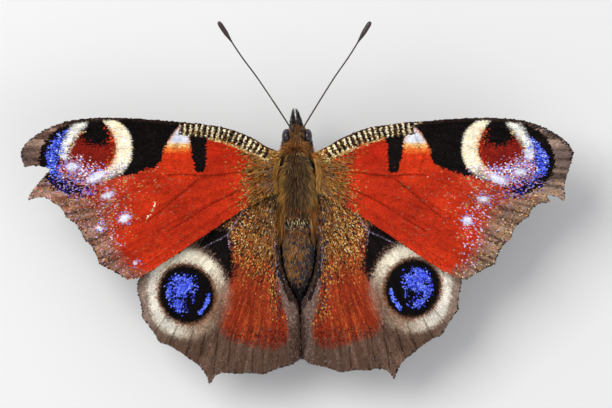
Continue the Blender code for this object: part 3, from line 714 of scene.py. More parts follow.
def set_points(mesh, name, kind, values):
    """Stores one vector (FLOAT_VECTOR) or colour (FLOAT_COLOR) for each point of a mesh."""
    values = np.asarray(values, np.float32)
    if kind == "FLOAT_COLOR":
        values = np.column_stack([values, np.ones(len(values), np.float32)])
    attribute = mesh.attributes.new(name, kind, "POINT")
    field = "color" if kind == "FLOAT_COLOR" else "vector"
    attribute.data.foreach_set(field, np.ascontiguousarray(values).ravel())


def add_piece(name, mesh, material, slot, *nodes):
    """Adds a finished mesh as a piece on the body, in place of the nodes that it stands for."""
    mesh.name = name
    mesh.materials.clear()
    mesh.materials.append(surface(material))
    piece = bpy.data.objects.new(name, mesh)
    bpy.context.scene.collection.objects.link(piece)
    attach(piece, BODY)
    if nodes:
        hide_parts(*nodes)


def add_solid(name, parts, material, slot, *nodes):
    """Adds closed shapes, each given by its points, faces and colours, as one piece."""
    points, faces, tints = [], [], []
    for shape, sides, colours in parts:
        first = sum(map(len, points))
        points.append(shape)
        faces += [tuple(first + index for index in side) for side in sides]
        tints.append(np.broadcast_to(colours, (len(shape), 3)))
    mesh = new_mesh(name, np.vstack(points), faces, np.vstack(tints))
    add_piece(name, mesh, material, slot, *nodes)


def node_copy(node):
    """The points and triangles of a frame node, with its doubles merged."""
    form = bmesh.new()
    form.from_mesh(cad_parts[node].data)
    bmesh.ops.remove_doubles(form, verts=form.verts, dist=0.002 * MM)
    bmesh.ops.triangulate(form, faces=form.faces)
    form.normal_update()
    return form


def tree_of(node):
    """Tree that rays can be cast at, of a frame node."""
    return BVHTree.FromBMesh(node_copy(node))


def cast(tree, x, y, way):
    """Where vertical rays at these places, in mm, hit a tree: upwards if way is 1, downwards
    if it is -1. Each hit is a point and a normal, or two times None.
    """
    heading = Vector((0, 0, way))
    starts = [Vector((*place, -RAY_START * way)) for place in zip(x * MM, y * MM)]
    return [tree.ray_cast(start, heading)[:2] for start in starts]


def landed(hits, kept):
    """Points, in mm, and normals of the hits that are kept."""
    hits = [hit for hit, fine in zip(hits, kept) if fine]
    return np.array([point[:] for point, _ in hits]) / MM, np.array([out[:] for _, out in hits])


# ---- Shader materials ----


def fill(tree, node, inputs):
    """Sets inputs of a node: each takes a plain value or the output socket of another node."""
    for key, value in inputs.items():
        if isinstance(value, bpy.types.NodeSocket):
            tree.links.new(value, node.inputs[key])
        else:
            node.inputs[key].default_value = value


def add_node(tree, kind, inputs=None, **settings):
    """Adds a node with its settings and inputs, and gives its outputs."""
    node = tree.nodes.new(kind)
    for name, value in settings.items():
        setattr(node, name, value)
    fill(tree, node, inputs or {})
    return node.outputs


def new_group(name, kind, inputs, outputs):
    """A node group with these named sockets, and the sockets that bring in its inputs."""
    group = bpy.data.node_groups.new(name, kind)
    for way, sockets in (("INPUT", inputs), ("OUTPUT", outputs)):
        for socket, holds in sockets.items():
            group.interface.new_socket(socket, in_out=way, socket_type=f"NodeSocket{holds}")
    return group, add_node(group, "NodeGroupInput")


def mottle_group():
    """Shader group that varies a colour and gives a height, both at a stated grain."""
    if "fine_mottle" in bpy.data.node_groups:
        return bpy.data.node_groups["fine_mottle"]
    inputs = {"Colour": "Color", "Grain": "Float", "Amount": "Float"}
    outputs = {"Colour": "Color", "Height": "Float"}
    group, given = new_group("fine_mottle", "ShaderNodeTree", inputs, outputs)
    place = add_node(group, "ShaderNodeTexCoord")["Object"]
    sizes = {"Vector": place, "Scale": given["Grain"], "Detail": 4}
    noise = add_node(group, "ShaderNodeTexNoise", sizes)["Fac"]
    low, high = (
        add_node(group, "ShaderNodeMath", {0: 1, 1: given["Amount"]}, operation=operation)[0]
        for operation in ("SUBTRACT", "ADD")
    )
    ends = {"From Min": 0.3, "From Max": 0.7, "To Min": low, "To Max": high}
    ramp = add_node(group, "ShaderNodeMapRange", {"Value": noise, **ends})["Result"]
    product = {0: given["Colour"], "Scale": ramp}
    scaled = add_node(group, "ShaderNodeVectorMath", product, operation="SCALE")["Vector"]
    add_node(group, "NodeGroupOutput", {"Colour": scaled, "Height": noise})
    return group


def surface(name):
    """A material that takes its colour from the piece's tint attribute, finely mottled. The
    eyes also have hundreds of small domed facets and a thin gloss.
    """
    if name in bpy.data.materials:
        return bpy.data.materials[name]
    grain, amount, roughness, specular, bump = SURFACES[name]
    material = bpy.data.materials.new(name)
    material.use_nodes = True
    tree = material.node_tree
    tint = add_node(tree, "ShaderNodeAttribute", attribute_name="tint")["Color"]
    inputs = {"Colour": tint, "Grain": grain, "Amount": amount}
    mottle = add_node(tree, "ShaderNodeGroup", inputs, node_tree=mottle_group())
    shader = {"Base Color": mottle["Colour"], "Roughness": roughness}
    shader["Specular IOR Level"] = specular
    if bump:
        relief = {"Height": mottle["Height"], "Strength": bump, "Distance": RELIEF_DEPTH}
        shader["Normal"] = add_node(tree, "ShaderNodeBump", relief)["Normal"]
    if name == "eye_facets":
        place = add_node(tree, "ShaderNodeTexCoord")["Object"]
        cells = {"Vector": place, "Scale": 15000, "Randomness": 0.25}
        height = add_node(tree, "ShaderNodeTexVoronoi", cells)["Distance"]
        relief = {"Height": height, "Strength": 0.6, "Distance": RELIEF_DEPTH}
        shader["Normal"] = add_node(tree, "ShaderNodeBump", relief, invert=True)["Normal"]
        shader |= {"Coat Weight": 0.15, "Coat Roughness": 0.12}
    fill(tree, tree.nodes["Principled BSDF"], shader)
    return material


# ---- Solid forms ----


def tube_faces(rings, sides):
    """Faces of a closed tube. The points of its two ends come after those of its rings."""
    faces, last = [], (rings - 1) * sides
    for step in range(sides):
        after = (step + 1) % sides
        for row in range(0, last, sides):
            faces.append((row + step, row + after, row + sides + after, row + sides + step))
        faces.append((last + sides, after, step))
        faces.append((last + sides + 1, last + step, last + after))
    return faces


def swept(path, radii, sides=12):
    """A closed round form along a path. Gives its points, faces and how far along each lies."""
    path = np.asarray(path, float)
    radii = np.broadcast_to(np.asarray(radii, float), len(path))
    tangents = unit(np.gradient(path, axis=0))
    across = np.cross(tangents[0], (0.3, 0.2, 0.9))
    angles = math.tau * np.arange(sides) / sides
    points = []
    for place, tangent, radius in zip(path, tangents, radii):
        across = unit(across - tangent * across.dot(tangent))
        up = np.cross(tangent, across)
        ring = np.cos(angles)[:, None] * across + np.sin(angles)[:, None] * up
        points.append(place + radius * ring)
    points = np.vstack([*points, path[0], path[-1]])
    along = np.append(np.repeat(np.linspace(0, 1, len(path)), sides), (0, 1))
    return points, tube_faces(len(path), sides), along


def rounded(path, radii, cap=4):
    """The same path and radii, with ends that close in a round."""
    path, radii = np.asarray(path, float), np.asarray(radii, float)
    turns = np.linspace(0.15, 1, cap) * math.pi / 2
    start = path[0] + unit(path[1] - path[0]) * radii[0]
    end = path[-1] + unit(path[-2] - path[-1]) * radii[-1]
    head = [start + (path[0] - start) * math.cos(turn) for turn in turns]
    tail = [end + (path[-1] - end) * math.cos(turn) for turn in turns[::-1]]
    sizes = np.sin(turns)
    path = np.vstack([head, path[1:-1], tail])
    return path, np.concatenate([sizes * radii[0], radii[1:-1], sizes[::-1] * radii[-1]])


def spread(values, count):
    """The values read at this many even places."""
    return np.interp(np.linspace(0, 1, count), np.linspace(0, 1, len(values)), values)


def core(path, radii):
    """The dark round form under a coat of hair."""
    points, faces, _ = swept(*rounded(path, radii))
    return points, faces, linear("sepia")


# ---- Coats: scales and hairs laid by Geometry Nodes ----


def scatter(points, faces, count, seed):
    """Even random places on a mesh: their positions and smooth normals."""
    points = np.asarray(points, float)
    split = [(face[0], face[i], face[i + 1]) for face in faces for i in range(1, len(face) - 1)]
    split = np.array(split)
    a, b, c = points[split[:, 0]], points[split[:, 1]], points[split[:, 2]]
    cross = np.cross(b - a, c - a)
    normals = np.zeros_like(points)
    for corner in range(3):
        np.add.at(normals, split[:, corner], cross)
    areas = np.cumsum(np.linalg.norm(cross, axis=1))
    dice = np.random.default_rng(seed)
    marks = (np.arange(count) + dice.random(count)) / count * areas[-1]
    chosen = split[np.minimum(np.searchsorted(areas, marks), len(split) - 1)]
    u, v = dice.random(count), dice.random(count)
    over = u + v > 1
    u[over], v[over] = 1 - u[over], 1 - v[over]
    shares = np.column_stack([1 - u - v, u, v])[:, :, None]
    return (points[chosen] * shares).sum(1), unit((unit(normals)[chosen] * shares).sum(1))


def coat_of(roots, out, lie, width, length, tint, patch, height=None):
    """A coat in the form that the laying tree reads, its hairs flat along the surface. The
    shape of a hair is as high as it is long, since its height is a share of its length.
    """
    lie = unit(lie - out * (lie * out).sum(1)[:, None])
    sizes = (width, length, length if height is None else height)
    girth = np.column_stack([np.broadcast_to(size, len(roots)) for size in sizes])
    return {"roots": roots, "lie": lie, "out": out, "girth": girth, "tint": tint, "patch": patch}


def on_map(plan):
    """Shares of a coat's plan as places on its bake map, which keeps a narrow edge free."""
    return plan * MAP_SHARE + MAP_EDGE


def scale_template():
    """One flat scale of unit length and width: pointed root, broad tip, closed below."""
    points = [(0, 0, 0), (0.5, 0.5, -0.4), (0.36, 1, 0), (-0.36, 1, 0), (-0.5, 0.5, -0.4)]
    faces = [(0, 1, 2), (0, 2, 3), (0, 3, 4)]
    faces += [((step + 1) % 5, step, 5) for step in range(5)]
    return template("scale_template", [*points, (0, 0.5, -1)], faces)


def hair_template():
    """A tuft of three tapered hairs of unit length, bent over towards their tips."""
    points, faces = [], []
    for turn, length, lift in ((0.0, 1.0, 0.12), (0.17, 0.82, 0.05), (-0.19, 0.88, 0.17)):
        first = len(points)
        for along, rising, radius in ((0.0, 0.0, 0.5), (0.5, 0.8, 0.42)):
            for step in range(3):
                angle = math.tau * (step / 3 + 0.25)
                x = radius * math.cos(angle)
                z = radius * math.sin(angle) * 0.035 + lift * rising
                points.append((x, along * length, z, turn))
        points.append((0, length, lift, turn))
        faces.append((first + 2, first + 1, first))
        for step in range(3):
            after = (step + 1) % 3
            faces.append((first + step, first + after, first + 3 + after, first + 3 + step))
            faces.append((first + 3 + step, first + 3 + after, first + 6))
    # The hairs part by an angle, so they spread by a share of their own length
    parted = [(x + 6 * turn * y * y, y, z) for x, y, z, turn in points]
    return template("hair_template", parted, faces)


def template(name, points, faces):
    """A unit shape to be laid, which keeps its own plan as an attribute for the bake map."""
    mesh = bpy.data.meshes.new(name)
    form = bmesh.new()
    verts = [form.verts.new(point) for point in points]
    for face in faces:
        form.faces.new([verts[index] for index in face])
    bmesh.ops.recalc_face_normals(form, faces=form.faces)
    form.to_mesh(mesh)
    form.free()
    set_points(mesh, "plan", "FLOAT_VECTOR", [(x, y, 0) for x, y, _ in points])
    shape = bpy.data.objects.new(name, mesh)
    bpy.context.scene.collection.objects.link(shape)
    return shape


# What each kind of coat is laid from: its shape, its surface and its material slot
COAT_KINDS = {
    "scale": (scale_template, "wing_scale", "wing_scales"),
    "hair": (hair_template, "hair", "body_hair"),
}


def coat_tree():
    """Geometry Nodes tree that lays one template on every point, along the coat's lie."""
    if "laid_coat" in bpy.data.node_groups:
        return bpy.data.node_groups["laid_coat"]
    inputs = {"Geometry": "Geometry", "Template": "Object", "Material": "Material"}
    inputs |= dict.fromkeys(("Patch", "Lift", "Lift Spread", "Turn Spread", "Size Spread"), "Float")
    inputs["Seed"] = "Int"
    tree, given = new_group("laid_coat", "GeometryNodeTree", inputs, {"Geometry": "Geometry"})
    tree.is_modifier = True

    def add(kind, inputs, **settings):
        return add_node(tree, kind, inputs, **settings)[0]

    def attribute(name):
        return add("GeometryNodeInputNamedAttribute", {"Name": name}, data_type="FLOAT_VECTOR")

    def total(a, b):
        return add("ShaderNodeMath", {0: a, 1: b}, operation="ADD")

    def scaled(vector, factor):
        return add("ShaderNodeVectorMath", {0: vector, "Scale": factor}, operation="SCALE")

    def vary(name, offset):
        """Random value either side of 0, no further than the socket says."""
        low = add("ShaderNodeMath", {0: given[name], 1: -1.0}, operation="MULTIPLY")
        ends = {2: low, 3: given[name], 8: total(given["Seed"], offset)}
        return add_node(tree, "FunctionNodeRandomValue", ends, data_type="FLOAT")[1]

    lift = total(given["Lift"], vary("Lift Spread", 1.0))
    tilt = add("ShaderNodeCombineXYZ", {"X": lift, "Z": vary("Turn Spread", 2.0)})
    way = {0: attribute("lie"), 1: attribute("out")}
    axes = add("FunctionNodeAxesToRotation", way, primary_axis="Y", secondary_axis="Z")
    turns = {0: axes, 1: add("FunctionNodeEulerToRotation", {0: tilt})}
    pose = add("FunctionNodeRotateRotation", turns, rotation_space="LOCAL")
    size = scaled(attribute("girth"), total(vary("Size Spread", 3.0), 1.0))
    shape = add_node(tree, "GeometryNodeObjectInfo", {"Object": given["Template"]})["Geometry"]
    placing = {"Points": given["Geometry"], "Instance": shape, "Rotation": pose, "Scale": size}
    laid = add("GeometryNodeInstanceOnPoints", placing)
    real = add("GeometryNodeRealizeInstances", {0: laid})
    spots = {0: attribute("patch"), 1: scaled(attribute("plan"), given["Patch"])}
    placed = add("ShaderNodeVectorMath", spots, operation="ADD")
    stored = {"Geometry": real, "Name": "OFBake", "Value": placed}
    kinds = {"data_type": "FLOAT2", "domain": "CORNER"}
    store = add("GeometryNodeStoreNamedAttribute", stored, **kinds)
    painted = {"Geometry": store, "Material": given["Material"]}
    finish = add("GeometryNodeSetMaterial", painted)
    add_node(tree, "NodeGroupOutput", {"Geometry": finish})
    return tree


def lay_coat(name, coat, laying, more=0):
    """Lays a coat of scales or hair in one of the ways of LAYING, whose seed can have more."""
    kind, lift, lift_spread, turn_spread, size_spread, seed = LAYING[laying]
    make_shape, material, slot = COAT_KINDS[kind]
    shape = make_shape()
    mesh = bpy.data.meshes.new(name)
    mesh.from_pydata(coat["roots"] * MM, [], [])
    flat_patch = np.column_stack([coat["patch"], np.zeros(len(coat["patch"]))])
    fields = {"lie": coat["lie"], "out": coat["out"], "girth": coat["girth"] * MM}
    for key, values in {**fields, "patch": flat_patch}.items():
        set_points(mesh, key, "FLOAT_VECTOR", values)
    set_points(mesh, "tint", "FLOAT_COLOR", coat["tint"])
    carrier = bpy.data.objects.new(name, mesh)
    bpy.context.scene.collection.objects.link(carrier)
    modifier = carrier.modifiers.new("coat", "NODES")
    modifier.node_group = coat_tree()
    values = {
        "Template": shape,
        "Material": surface(material),
        "Patch": PATCH,
        "Lift": math.radians(lift),
        "Lift Spread": math.radians(lift_spread),
        "Turn Spread": math.radians(turn_spread),
        "Size Spread": size_spread,
        "Seed": seed + more,
    }
    for socket in modifier.node_group.interface.items_tree:
        if socket.name in values:
            modifier[socket.identifier] = values[socket.name]
    graph = bpy.context.evaluated_depsgraph_get()
    made = bpy.data.meshes.new_from_object(carrier.evaluated_get(graph))
    for spent in (carrier, shape):
        bpy.data.meshes.remove(spent.data)
    for leftover in ("lie", "out", "girth", "patch", "plan"):
        if leftover in made.attributes:
            made.attributes.remove(made.attributes[leftover])
    add_piece(name, made, material, slot)


def joined(coats):
    """One coat out of several."""
    return {key: np.concatenate([coat[key] for coat in coats]) for key in coats[0]}


def lifted(coat, degrees):
    """The coat with its hairs raised from the surface by an angle."""
    sine, cosine = math.sin(math.radians(degrees)), math.cos(math.radians(degrees))
    lie, out = coat["lie"], coat["out"]
    return {**coat, "lie": lie * cosine + out * sine, "out": out * cosine - lie * sine}


# ---- Wings ----


class Wing:
    """One wing of the frame: its outline, middle surface and vein ridges, and the outline of
    its membrane, which is drawn in by the fringe where the margin faces outwards.
    """

    def __init__(self, kind, side_name, fringe):
        self.kind, self.side = kind, SIDES[side_name]
        self.node = f"{kind}_{side_name}"
        form = node_copy(self.node)
        self.tree = BVHTree.FromBMesh(form)
        self.outline = self.rim(form)
        self.inset, self.outwards, self.facing = self.drawn_in(fringe)
        self.low = self.inset.min(0)
        self.extent = (self.inset.max(0) - self.low).max()

    def rim(self, form):
        """The outline of the upper face, seen from above, in mm."""
        links = {}
        for edge in form.edges:
            upper = [face.normal.z > 0.5 for face in edge.link_faces]
            if sorted(upper) == [False, True]:
                a, b = edge.verts
                links.setdefault(a, []).append(b)
                links.setdefault(b, []).append(a)
        here, before, loop = next(iter(links)), None, []
        while here not in loop[:1]:
            loop.append(here)
            after = next(vert for vert in links[here] if vert is not before)
            before, here = here, after
        outline = np.array([vert.co.xy[:] for vert in loop]) / MM
        ahead = np.roll(outline, -1, 0)
        area = (outline[:, 0] * ahead[:, 1] - ahead[:, 0] * outline[:, 1]).sum()
        return smooth_path(outline if area > 0 else outline[::-1], 4, closed=True, corner=38)

    def drawn_in(self, fringe):
        """The membrane's outline, the way outwards and the share of the fringe along it."""
        outline = self.outline
        tangent = unit(np.roll(outline, -1, 0) - np.roll(outline, 1, 0))
        outwards = np.column_stack([tangent[:, 1], -tangent[:, 0]])
        rays, out = self.rays(*outline.T)
        facing = ease((outwards * rays).sum(1) * 1.8 - 0.35) * (out > 8)
        facing = (facing + np.roll(facing, 1) + np.roll(facing, -1)) / 3
        depth = 0.03 + fringe * facing
        moved = outline - outwards * depth[:, None]
        for _ in range(4):
            short = depth_in(outline, *moved.T) < depth * 0.75
            beside = np.roll(moved, 1, 0)[short] + np.roll(moved, -1, 0)[short]
            moved[short] = (moved[short] + beside) / 3
        return moved, outwards, facing

    def own_plan(self, x, y):
        """Places in the wing's own plan: outwards from the midline and forwards, unturned."""
        if self.kind == "hindwing":
            x, y = turned(x, y, -HIND_TURN)
        return x * self.side, y

    def in_frame(self, own_x, own_y):
        """Places of the wing's own plan as they lie in the frame."""
        if self.kind == "hindwing":
            return turned(own_x * self.side, own_y, HIND_TURN)
        return own_x * self.side, own_y

    def rays(self, x, y):
        """Direction of the scales at each place, in the frame's plan, and how far out it is."""
        dx, dy, out = fan(self.kind, *self.own_plan(x, y))
        return np.column_stack([dx * self.side, dy]), out

    def on_map(self, places):
        """Places in the frame as places on the wing's bake map."""
        return on_map((places - self.low) / self.extent)

    def surfaces(self, x, y):
        """Height of the middle surface and share of a vein ridge at each place."""
        middle, ridge = np.zeros(len(x)), np.zeros(len(x))
        hits = zip(cast(self.tree, x, y, -1), cast(self.tree, x, y, 1))
        for index, ((top, _), (low, _)) in enumerate(hits):
            if top is None or low is None:
                beside = Vector((x[index], y[index], 9)) * MM
                middle[index] = self.tree.find_nearest(beside)[0].z / MM
                continue
            middle[index] = (top.z + low.z) / 2 / MM
            ridge[index] = ((top.z - low.z) / 2 / MM - PLATE_HALF) / RIDGE_RISE
        return middle, np.clip(ridge, 0, 1)


def wing_membrane(wing, settings):
    """The thin wing itself, alike above and below, with raised veins and soft creases."""
    outline, grid = wing.inset, settings.grid
    low, high = outline.min(0), outline.max(0)
    columns, rows = np.meshgrid(
        np.arange(low[0], high[0], grid), np.arange(low[1], high[1], grid * 0.87)
    )
    columns[1::2] += grid / 2
    inner = np.column_stack([columns.ravel(), rows.ravel()])
    inner = inner[depth_in(outline, *inner.T) > grid * 0.45]
    points = [Vector(point) for point in (*outline, *inner)]
    flat = delaunay_2d_cdt(points, [], [list(range(len(outline)))], 1, 1e-6)
    plan = np.array([point[:] for point in flat[0]])
    triangles = [tuple(face) for face in flat[2]]
    middle, ridge = wing.surfaces(*plan.T)
    own_x, own_y = wing.own_plan(*plan.T)
    _, _, out = fan(wing.kind, own_x, own_y)
    waves = np.sin(np.arctan2(own_y, own_x) * CREASES[wing.kind])
    middle += CREASE_HEIGHT * waves * rise(out, 6, 12)
    middle += SWELL_HEIGHT * (lattice_noise(own_x, own_y, 4.5, 31) - 0.5)
    thick = settings.thickness / 2 + VEIN_HEIGHT * ease(ridge * 1.4 - 0.3)
    points = [np.column_stack([plan, middle + way * thick]) for way in (1, -1)]
    count = len(plan)
    faces = triangles + [(c + count, b + count, a + count) for a, b, c in triangles]
    edges = dict.fromkeys(edge for a, b, c in triangles for edge in ((a, b), (b, c), (c, a)))
    faces += [(b, a, a + count, b + count) for a, b in edges if (b, a) not in edges]
    seed = SEEDS["membrane"] + wing.side
    # The membrane takes the scales' colours, darkened as painted shade under the scales
    top = PAINTERS[wing.kind](own_x, own_y, ridge, seed, wing.side) * UNDERCOAT_SHADE["membrane"]
    under = paint_underside(own_x, own_y, ridge, seed, wing.side)
    mesh = new_mesh(wing.node, np.vstack(points), faces, np.vstack([top, under]))
    add_piece(f"{wing.node}_membrane", mesh, "wing_membrane", "wing_scales", wing.node)
    return BVHTree.FromPolygons(
        [vert.co[:] for vert in mesh.vertices], [face.vertices[:] for face in mesh.polygons]
    )


def rows_of_scales(wing, across, along, seed):
    """Roots of overlapping scales, in rows across the wing's rays."""
    dice = np.random.default_rng(seed)
    own = np.column_stack(wing.own_plan(*wing.inset.T))
    root = np.array(FAN_ROOTS[wing.kind])
    farthest = np.linalg.norm(own - root, axis=1).max()
    places, radius = [], 1.0
    while radius < farthest:
        count = int(math.tau * radius / across)
        angles = math.tau * (np.arange(count) + dice.random()) / count
        bend = radius + dice.normal(0, along * 0.16, count)
        angles += dice.normal(0, across * 0.16, count) / radius
        places.append(np.column_stack([bend * np.cos(angles), bend * np.sin(angles)]))
        radius += along
    places = np.concatenate(places) + root
    places = places[(places > own.min(0)).all(1) & (places < own.max(0)).all(1)]
    return wing.in_frame(*places[inside(own, places)].T)


def wing_scales(wing, skin, settings, upper):
    """One side's scales, as overlapping plates laid on the membrane along the rays."""
    factor = 1.0 if upper else settings.under_pitch
    more = wing.side + (10 if upper else 20)
    seed = LAYING["scales"][-1] + more
    across, along = settings.pitch_across * factor, settings.pitch_along * factor
    x, y = rows_of_scales(wing, across, along, seed)
    hits = cast(skin, x, y, -1 if upper else 1)
    good = np.array([point is not None and abs(out.z) > 0.3 for point, out in hits])
    rays, _ = wing.rays(x, y)
    if not upper:
        # The larger scales of the underside would stand out beyond the frame's wing
        good &= inside(wing.outline, np.column_stack([x, y]) + rays * along * 1.9)
    x, y, rays = x[good], y[good], rays[good]
    points, out = landed(hits, good)
    _, ridge = wing.surfaces(x, y)
    painter = PAINTERS[wing.kind] if upper else paint_underside
    tint = painter(*wing.own_plan(x, y), ridge, seed + 100, wing.side)
    dice = np.random.default_rng(seed + 5)
    tint = (tint * dice.normal(1, 0.10, len(x)).clip(0.6, 1.5)[:, None]).clip(0, 1)
    lie = np.column_stack([rays, np.zeros(len(x))])
    patch = wing.on_map(np.column_stack([x, y]))
    sizes = np.array(SCALE_SHARES) * (across, along)
    coat = coat_of(points + out * 0.02, out, lie, *sizes, tint, patch, SCALE_THICKNESS)
    name = f"{wing.node}_scales_{'upper' if upper else 'under'}"
    lay_coat(name, coat, "scales", more)


def wing_fringe(wing, settings):
    """Long narrow scales that stand out from the wing's outer margin."""
    dice = np.random.default_rng(SEEDS["fringe"] + wing.side)
    here, ahead = wing.inset, np.roll(wing.inset, -1, 0)
    out_here, out_ahead = wing.outwards, np.roll(wing.outwards, -1, 0)
    lengths = np.linalg.norm(ahead - here, axis=1)
    places, ways, sizes = [], [], []
    for index in np.flatnonzero(wing.facing >= 0.15):
        for step in dice.random(max(1, int(lengths[index] / settings.fringe_pitch))):
            places.append(here[index] + (ahead[index] - here[index]) * step)
            way = out_here[index] * (1 - step) + out_ahead[index] * step
            ways.append(way + dice.normal(0, 0.10, 2))
            sizes.append(wing.facing[index])
    ways = unit(np.array(ways))
    places = np.array(places) - ways * 0.06
    middle, _ = wing.surfaces(*places.T)
    middle += dice.normal(0, 0.02, len(middle))
    paint = Paint(*wing.own_plan(*places.T), SEEDS["fringe"] + 1)
    paint.lay(1, "bark soot peat")
    paint.lay(0.14, "fawn smoke")
    long = settings.fringe * dice.uniform(0.75, 1.0, len(places)) * sizes
    roots = np.column_stack([places, middle])
    lie = np.column_stack([ways, np.zeros(len(places))])
    out = np.tile([0.0, 0, 1], (len(places), 1))
    sizes, patch = (FRINGE_WIDTH, long), wing.on_map(places)
    coat = coat_of(roots, out, lie, *sizes, paint.colour, patch, FRINGE_THICKNESS)
    lay_coat(f"{wing.node}_fringe", coat, "fringe")


def wing_hair(wing, skin, seed):
    """Soft hair over the root of a wing, in the colours of the scales under it."""
    dice = np.random.default_rng(seed)
    hind = wing.kind == "hindwing"
    own_x, own_y = (dice.uniform(*ends, WING_TUFTS) for ends in ROOT_HAIR[wing.kind])
    hits = cast(skin, *wing.in_frame(own_x, own_y), -1)
    thin = rise(own_x, 6.4, -3.5) * (rise(own_y, -8.5, 6) if hind else 1)
    if not hind:
        inwards, _ = to_line(smooth_path(COSTA, 6), own_x, own_y)
        thin *= np.maximum(rise(inwards, 1.3, 0.3), own_x < 2.6)
    kept = [point is not None and out.z > 0.3 for point, out in hits]
    kept = kept & (dice.random(WING_TUFTS) < thin)
    roots, out = landed(hits, kept)
    own_x, own_y = own_x[kept], own_y[kept]
    rays, _ = wing.rays(roots[:, 0], roots[:, 1])
    lie = np.column_stack([rays, np.zeros(len(roots))]) + dice.normal(0, 0.12, roots.shape)
    if hind:
        lie[:, 1] -= 0.35
    paint = Paint(own_x, own_y, seed)
    paint.lay(1, "honey copper umber honey gold sepia gold")
    if not hind:
        paint.lay(rise(own_y, 3.6, 0.9) * 0.75, "gold honey rust gold orange")
        shoulder = rise(own_x, 2.9, -0.5) * rise(own_y, 2.6, 0.6)
        paint.lay(shoulder * 0.8, "honey gold copper honey")
    pale = 0.08 + 0.25 * rise(own_x, 3.8, -1.2) * (own_y < 4.5)
    paint.lay(pale, "smoke steel ash")
    patch = on_map((roots[:, :2] - roots[:, :2].min(0)) / 12)
    lengths = dice.uniform(0.6, 1.15, len(roots))
    coat = coat_of(roots + out * 0.02, out, lie, 0.038, lengths, paint.colour, patch)
    lay_coat(f"{wing.node}_hair", coat, "wing")


# ---- Folds of the hindwings ----

# Inner margin of a hindwing, outwards from the midline and forwards, before the turn, and the
# fold's section: how far inwards it goes, in mm, and its share of the way down
INNER_MARGIN = [
    (2.3, 1.2), (2.2, -0.6), (2.2, -2.7), (2.22, -4.0), (2.1, -6.2), (1.75, -7.9), (1.0, -9.75),
    (0.27, -11.4), (0.25, -17.0),
]
FOLD_SECTION = [(-0.15, -0.03), (0.0, 0.0), (0.1, 0.12), (0.16, 0.35), (0.16, 0.65), (0.42, 1.0)]


def thin_sheet(grid, thickness):
    """A closed thin sheet over rows of points: its points and faces."""
    rows, columns = grid.shape[:2]
    normals = unit(np.cross(np.gradient(grid, axis=0), np.gradient(grid, axis=1)))
    points = [(grid + normals * thickness * half).reshape(-1, 3) for half in (0.5, -0.5)]
    count, faces = rows * columns, []
    numbers = np.arange(count).reshape(rows, columns).tolist()
    for row in range(rows - 1):
        for column in range(columns - 1):
            a = row * columns + column
            quad = (a, a + columns, a + columns + 1, a + 1)
            faces += [quad, tuple(index + count for index in quad[::-1])]
    border = [*numbers[0], *(row[-1] for row in numbers[1:]), *numbers[-1][-2::-1]]
    border += [row[0] for row in numbers[-2::-1]]
    faces += [(a, b, b + count, a + count) for a, b in zip(border, border[1:])]
    return np.vstack(points), faces


def hind_fold(wing):
    """The fold of a hindwing's inner margin, which turns down beside the abdomen, painted darker
    the lower it goes as shade.
    """
    own = smooth_path(INNER_MARGIN, 12)
    ahead = unit(np.gradient(own, axis=0))
    inwards = np.column_stack([ahead[:, 1], -ahead[:, 0]])
    down = np.interp(own[:, 1], (-17, -12.5, -10, -3, -1.7), (0.25, 0.5, 1.7, 1.9, 1.5))
    reach = np.interp(own[:, 1], (-17, -12, -10.5), (0.56, 0.56, 1.0))
    edge, _ = wing.surfaces(*wing.in_frame(*own.T))
    grid = []
    for share_in, share_down in smooth_path(FOLD_SECTION, 3):
        way = share_in * (np.ones(len(own)) if share_in < 0 else reach)
        place = own + inwards * way[:, None]
        grid.append(np.column_stack([*wing.in_frame(*place.T), edge - share_down * down]))
    grid = np.array(grid)
    points, faces = thin_sheet(grid if wing.side > 0 else grid[:, ::-1], 0.05)
    paint = Paint(*wing.own_plan(points[:, 0], points[:, 1]), 33)
    paint.lay(1, "taupe sepia", 0.3)
    # Painted shade: darker the lower the fold lies
    paint.lay(np.interp(points[:, 2], (5.2, 6.4, 7.2), (1, 0.7, 0)), "ink", 0.1)
    # The fold's skin is darkened as painted shade under its hair
    return points, faces, paint.colour * UNDERCOAT_SHADE["fold"]


def fold_coat(points, faces, wing, seed):
    """Short dark hair on a fold, lying back and down, darker the lower it grows as painted shade.
    """
    roots, out = scatter(points, faces, FOLD_TUFTS, seed)
    dice = np.random.default_rng(seed + 1)
    lie = np.array([0.0, -1.0, -0.35]) + dice.normal(0, 0.12, roots.shape)
    paint = Paint(*wing.own_plan(roots[:, 0], roots[:, 1]), seed)
    paint.lay(1, "taupe sepia smoke coffee")
    # Painted shade: darker the lower the hair grows
    paint.lay(np.interp(roots[:, 2], (5.6, 6.6, 7.2), (1, 0.8, 0)), "ink soot slate")
    patch = on_map(np.column_stack([(7.8 - roots[:, 2]) / 8, (roots[:, 1] + 17.4) / 16.5]))
    lengths = dice.uniform(0.22, 0.4, FOLD_TUFTS)
    return coat_of(roots, out, lie, 0.035, lengths, paint.colour, patch)


# ---- Body ----


def body_axis(y):
    """Middle of the body at y, in mm, where the hind body is turned a little."""
    y = np.asarray(y, float)
    x = -np.minimum(y - HIND_PIVOT[1], 0) * math.tan(HIND_TURN) * rise(y, 0.5, -3)
    z = np.interp(y, (-11, -8.7, -5.6, -2.2, 2.3, 6.3, 8.4), (5.9, 6.28, 6.72, 7.0, 7.3, 7.52, 7.5))
    return x, z


def coat_depth(y):
    """How far the skin lies under the tips of the coat, in mm."""
    ys = (-11, -10, -3, -1.5, 0, 5, 6.3, 7.4, 8.3)
    return np.interp(y, ys, (0.03, 0.05, 0.08, 0.22, 0.28, 0.26, 0.14, 0.12, 0.1))


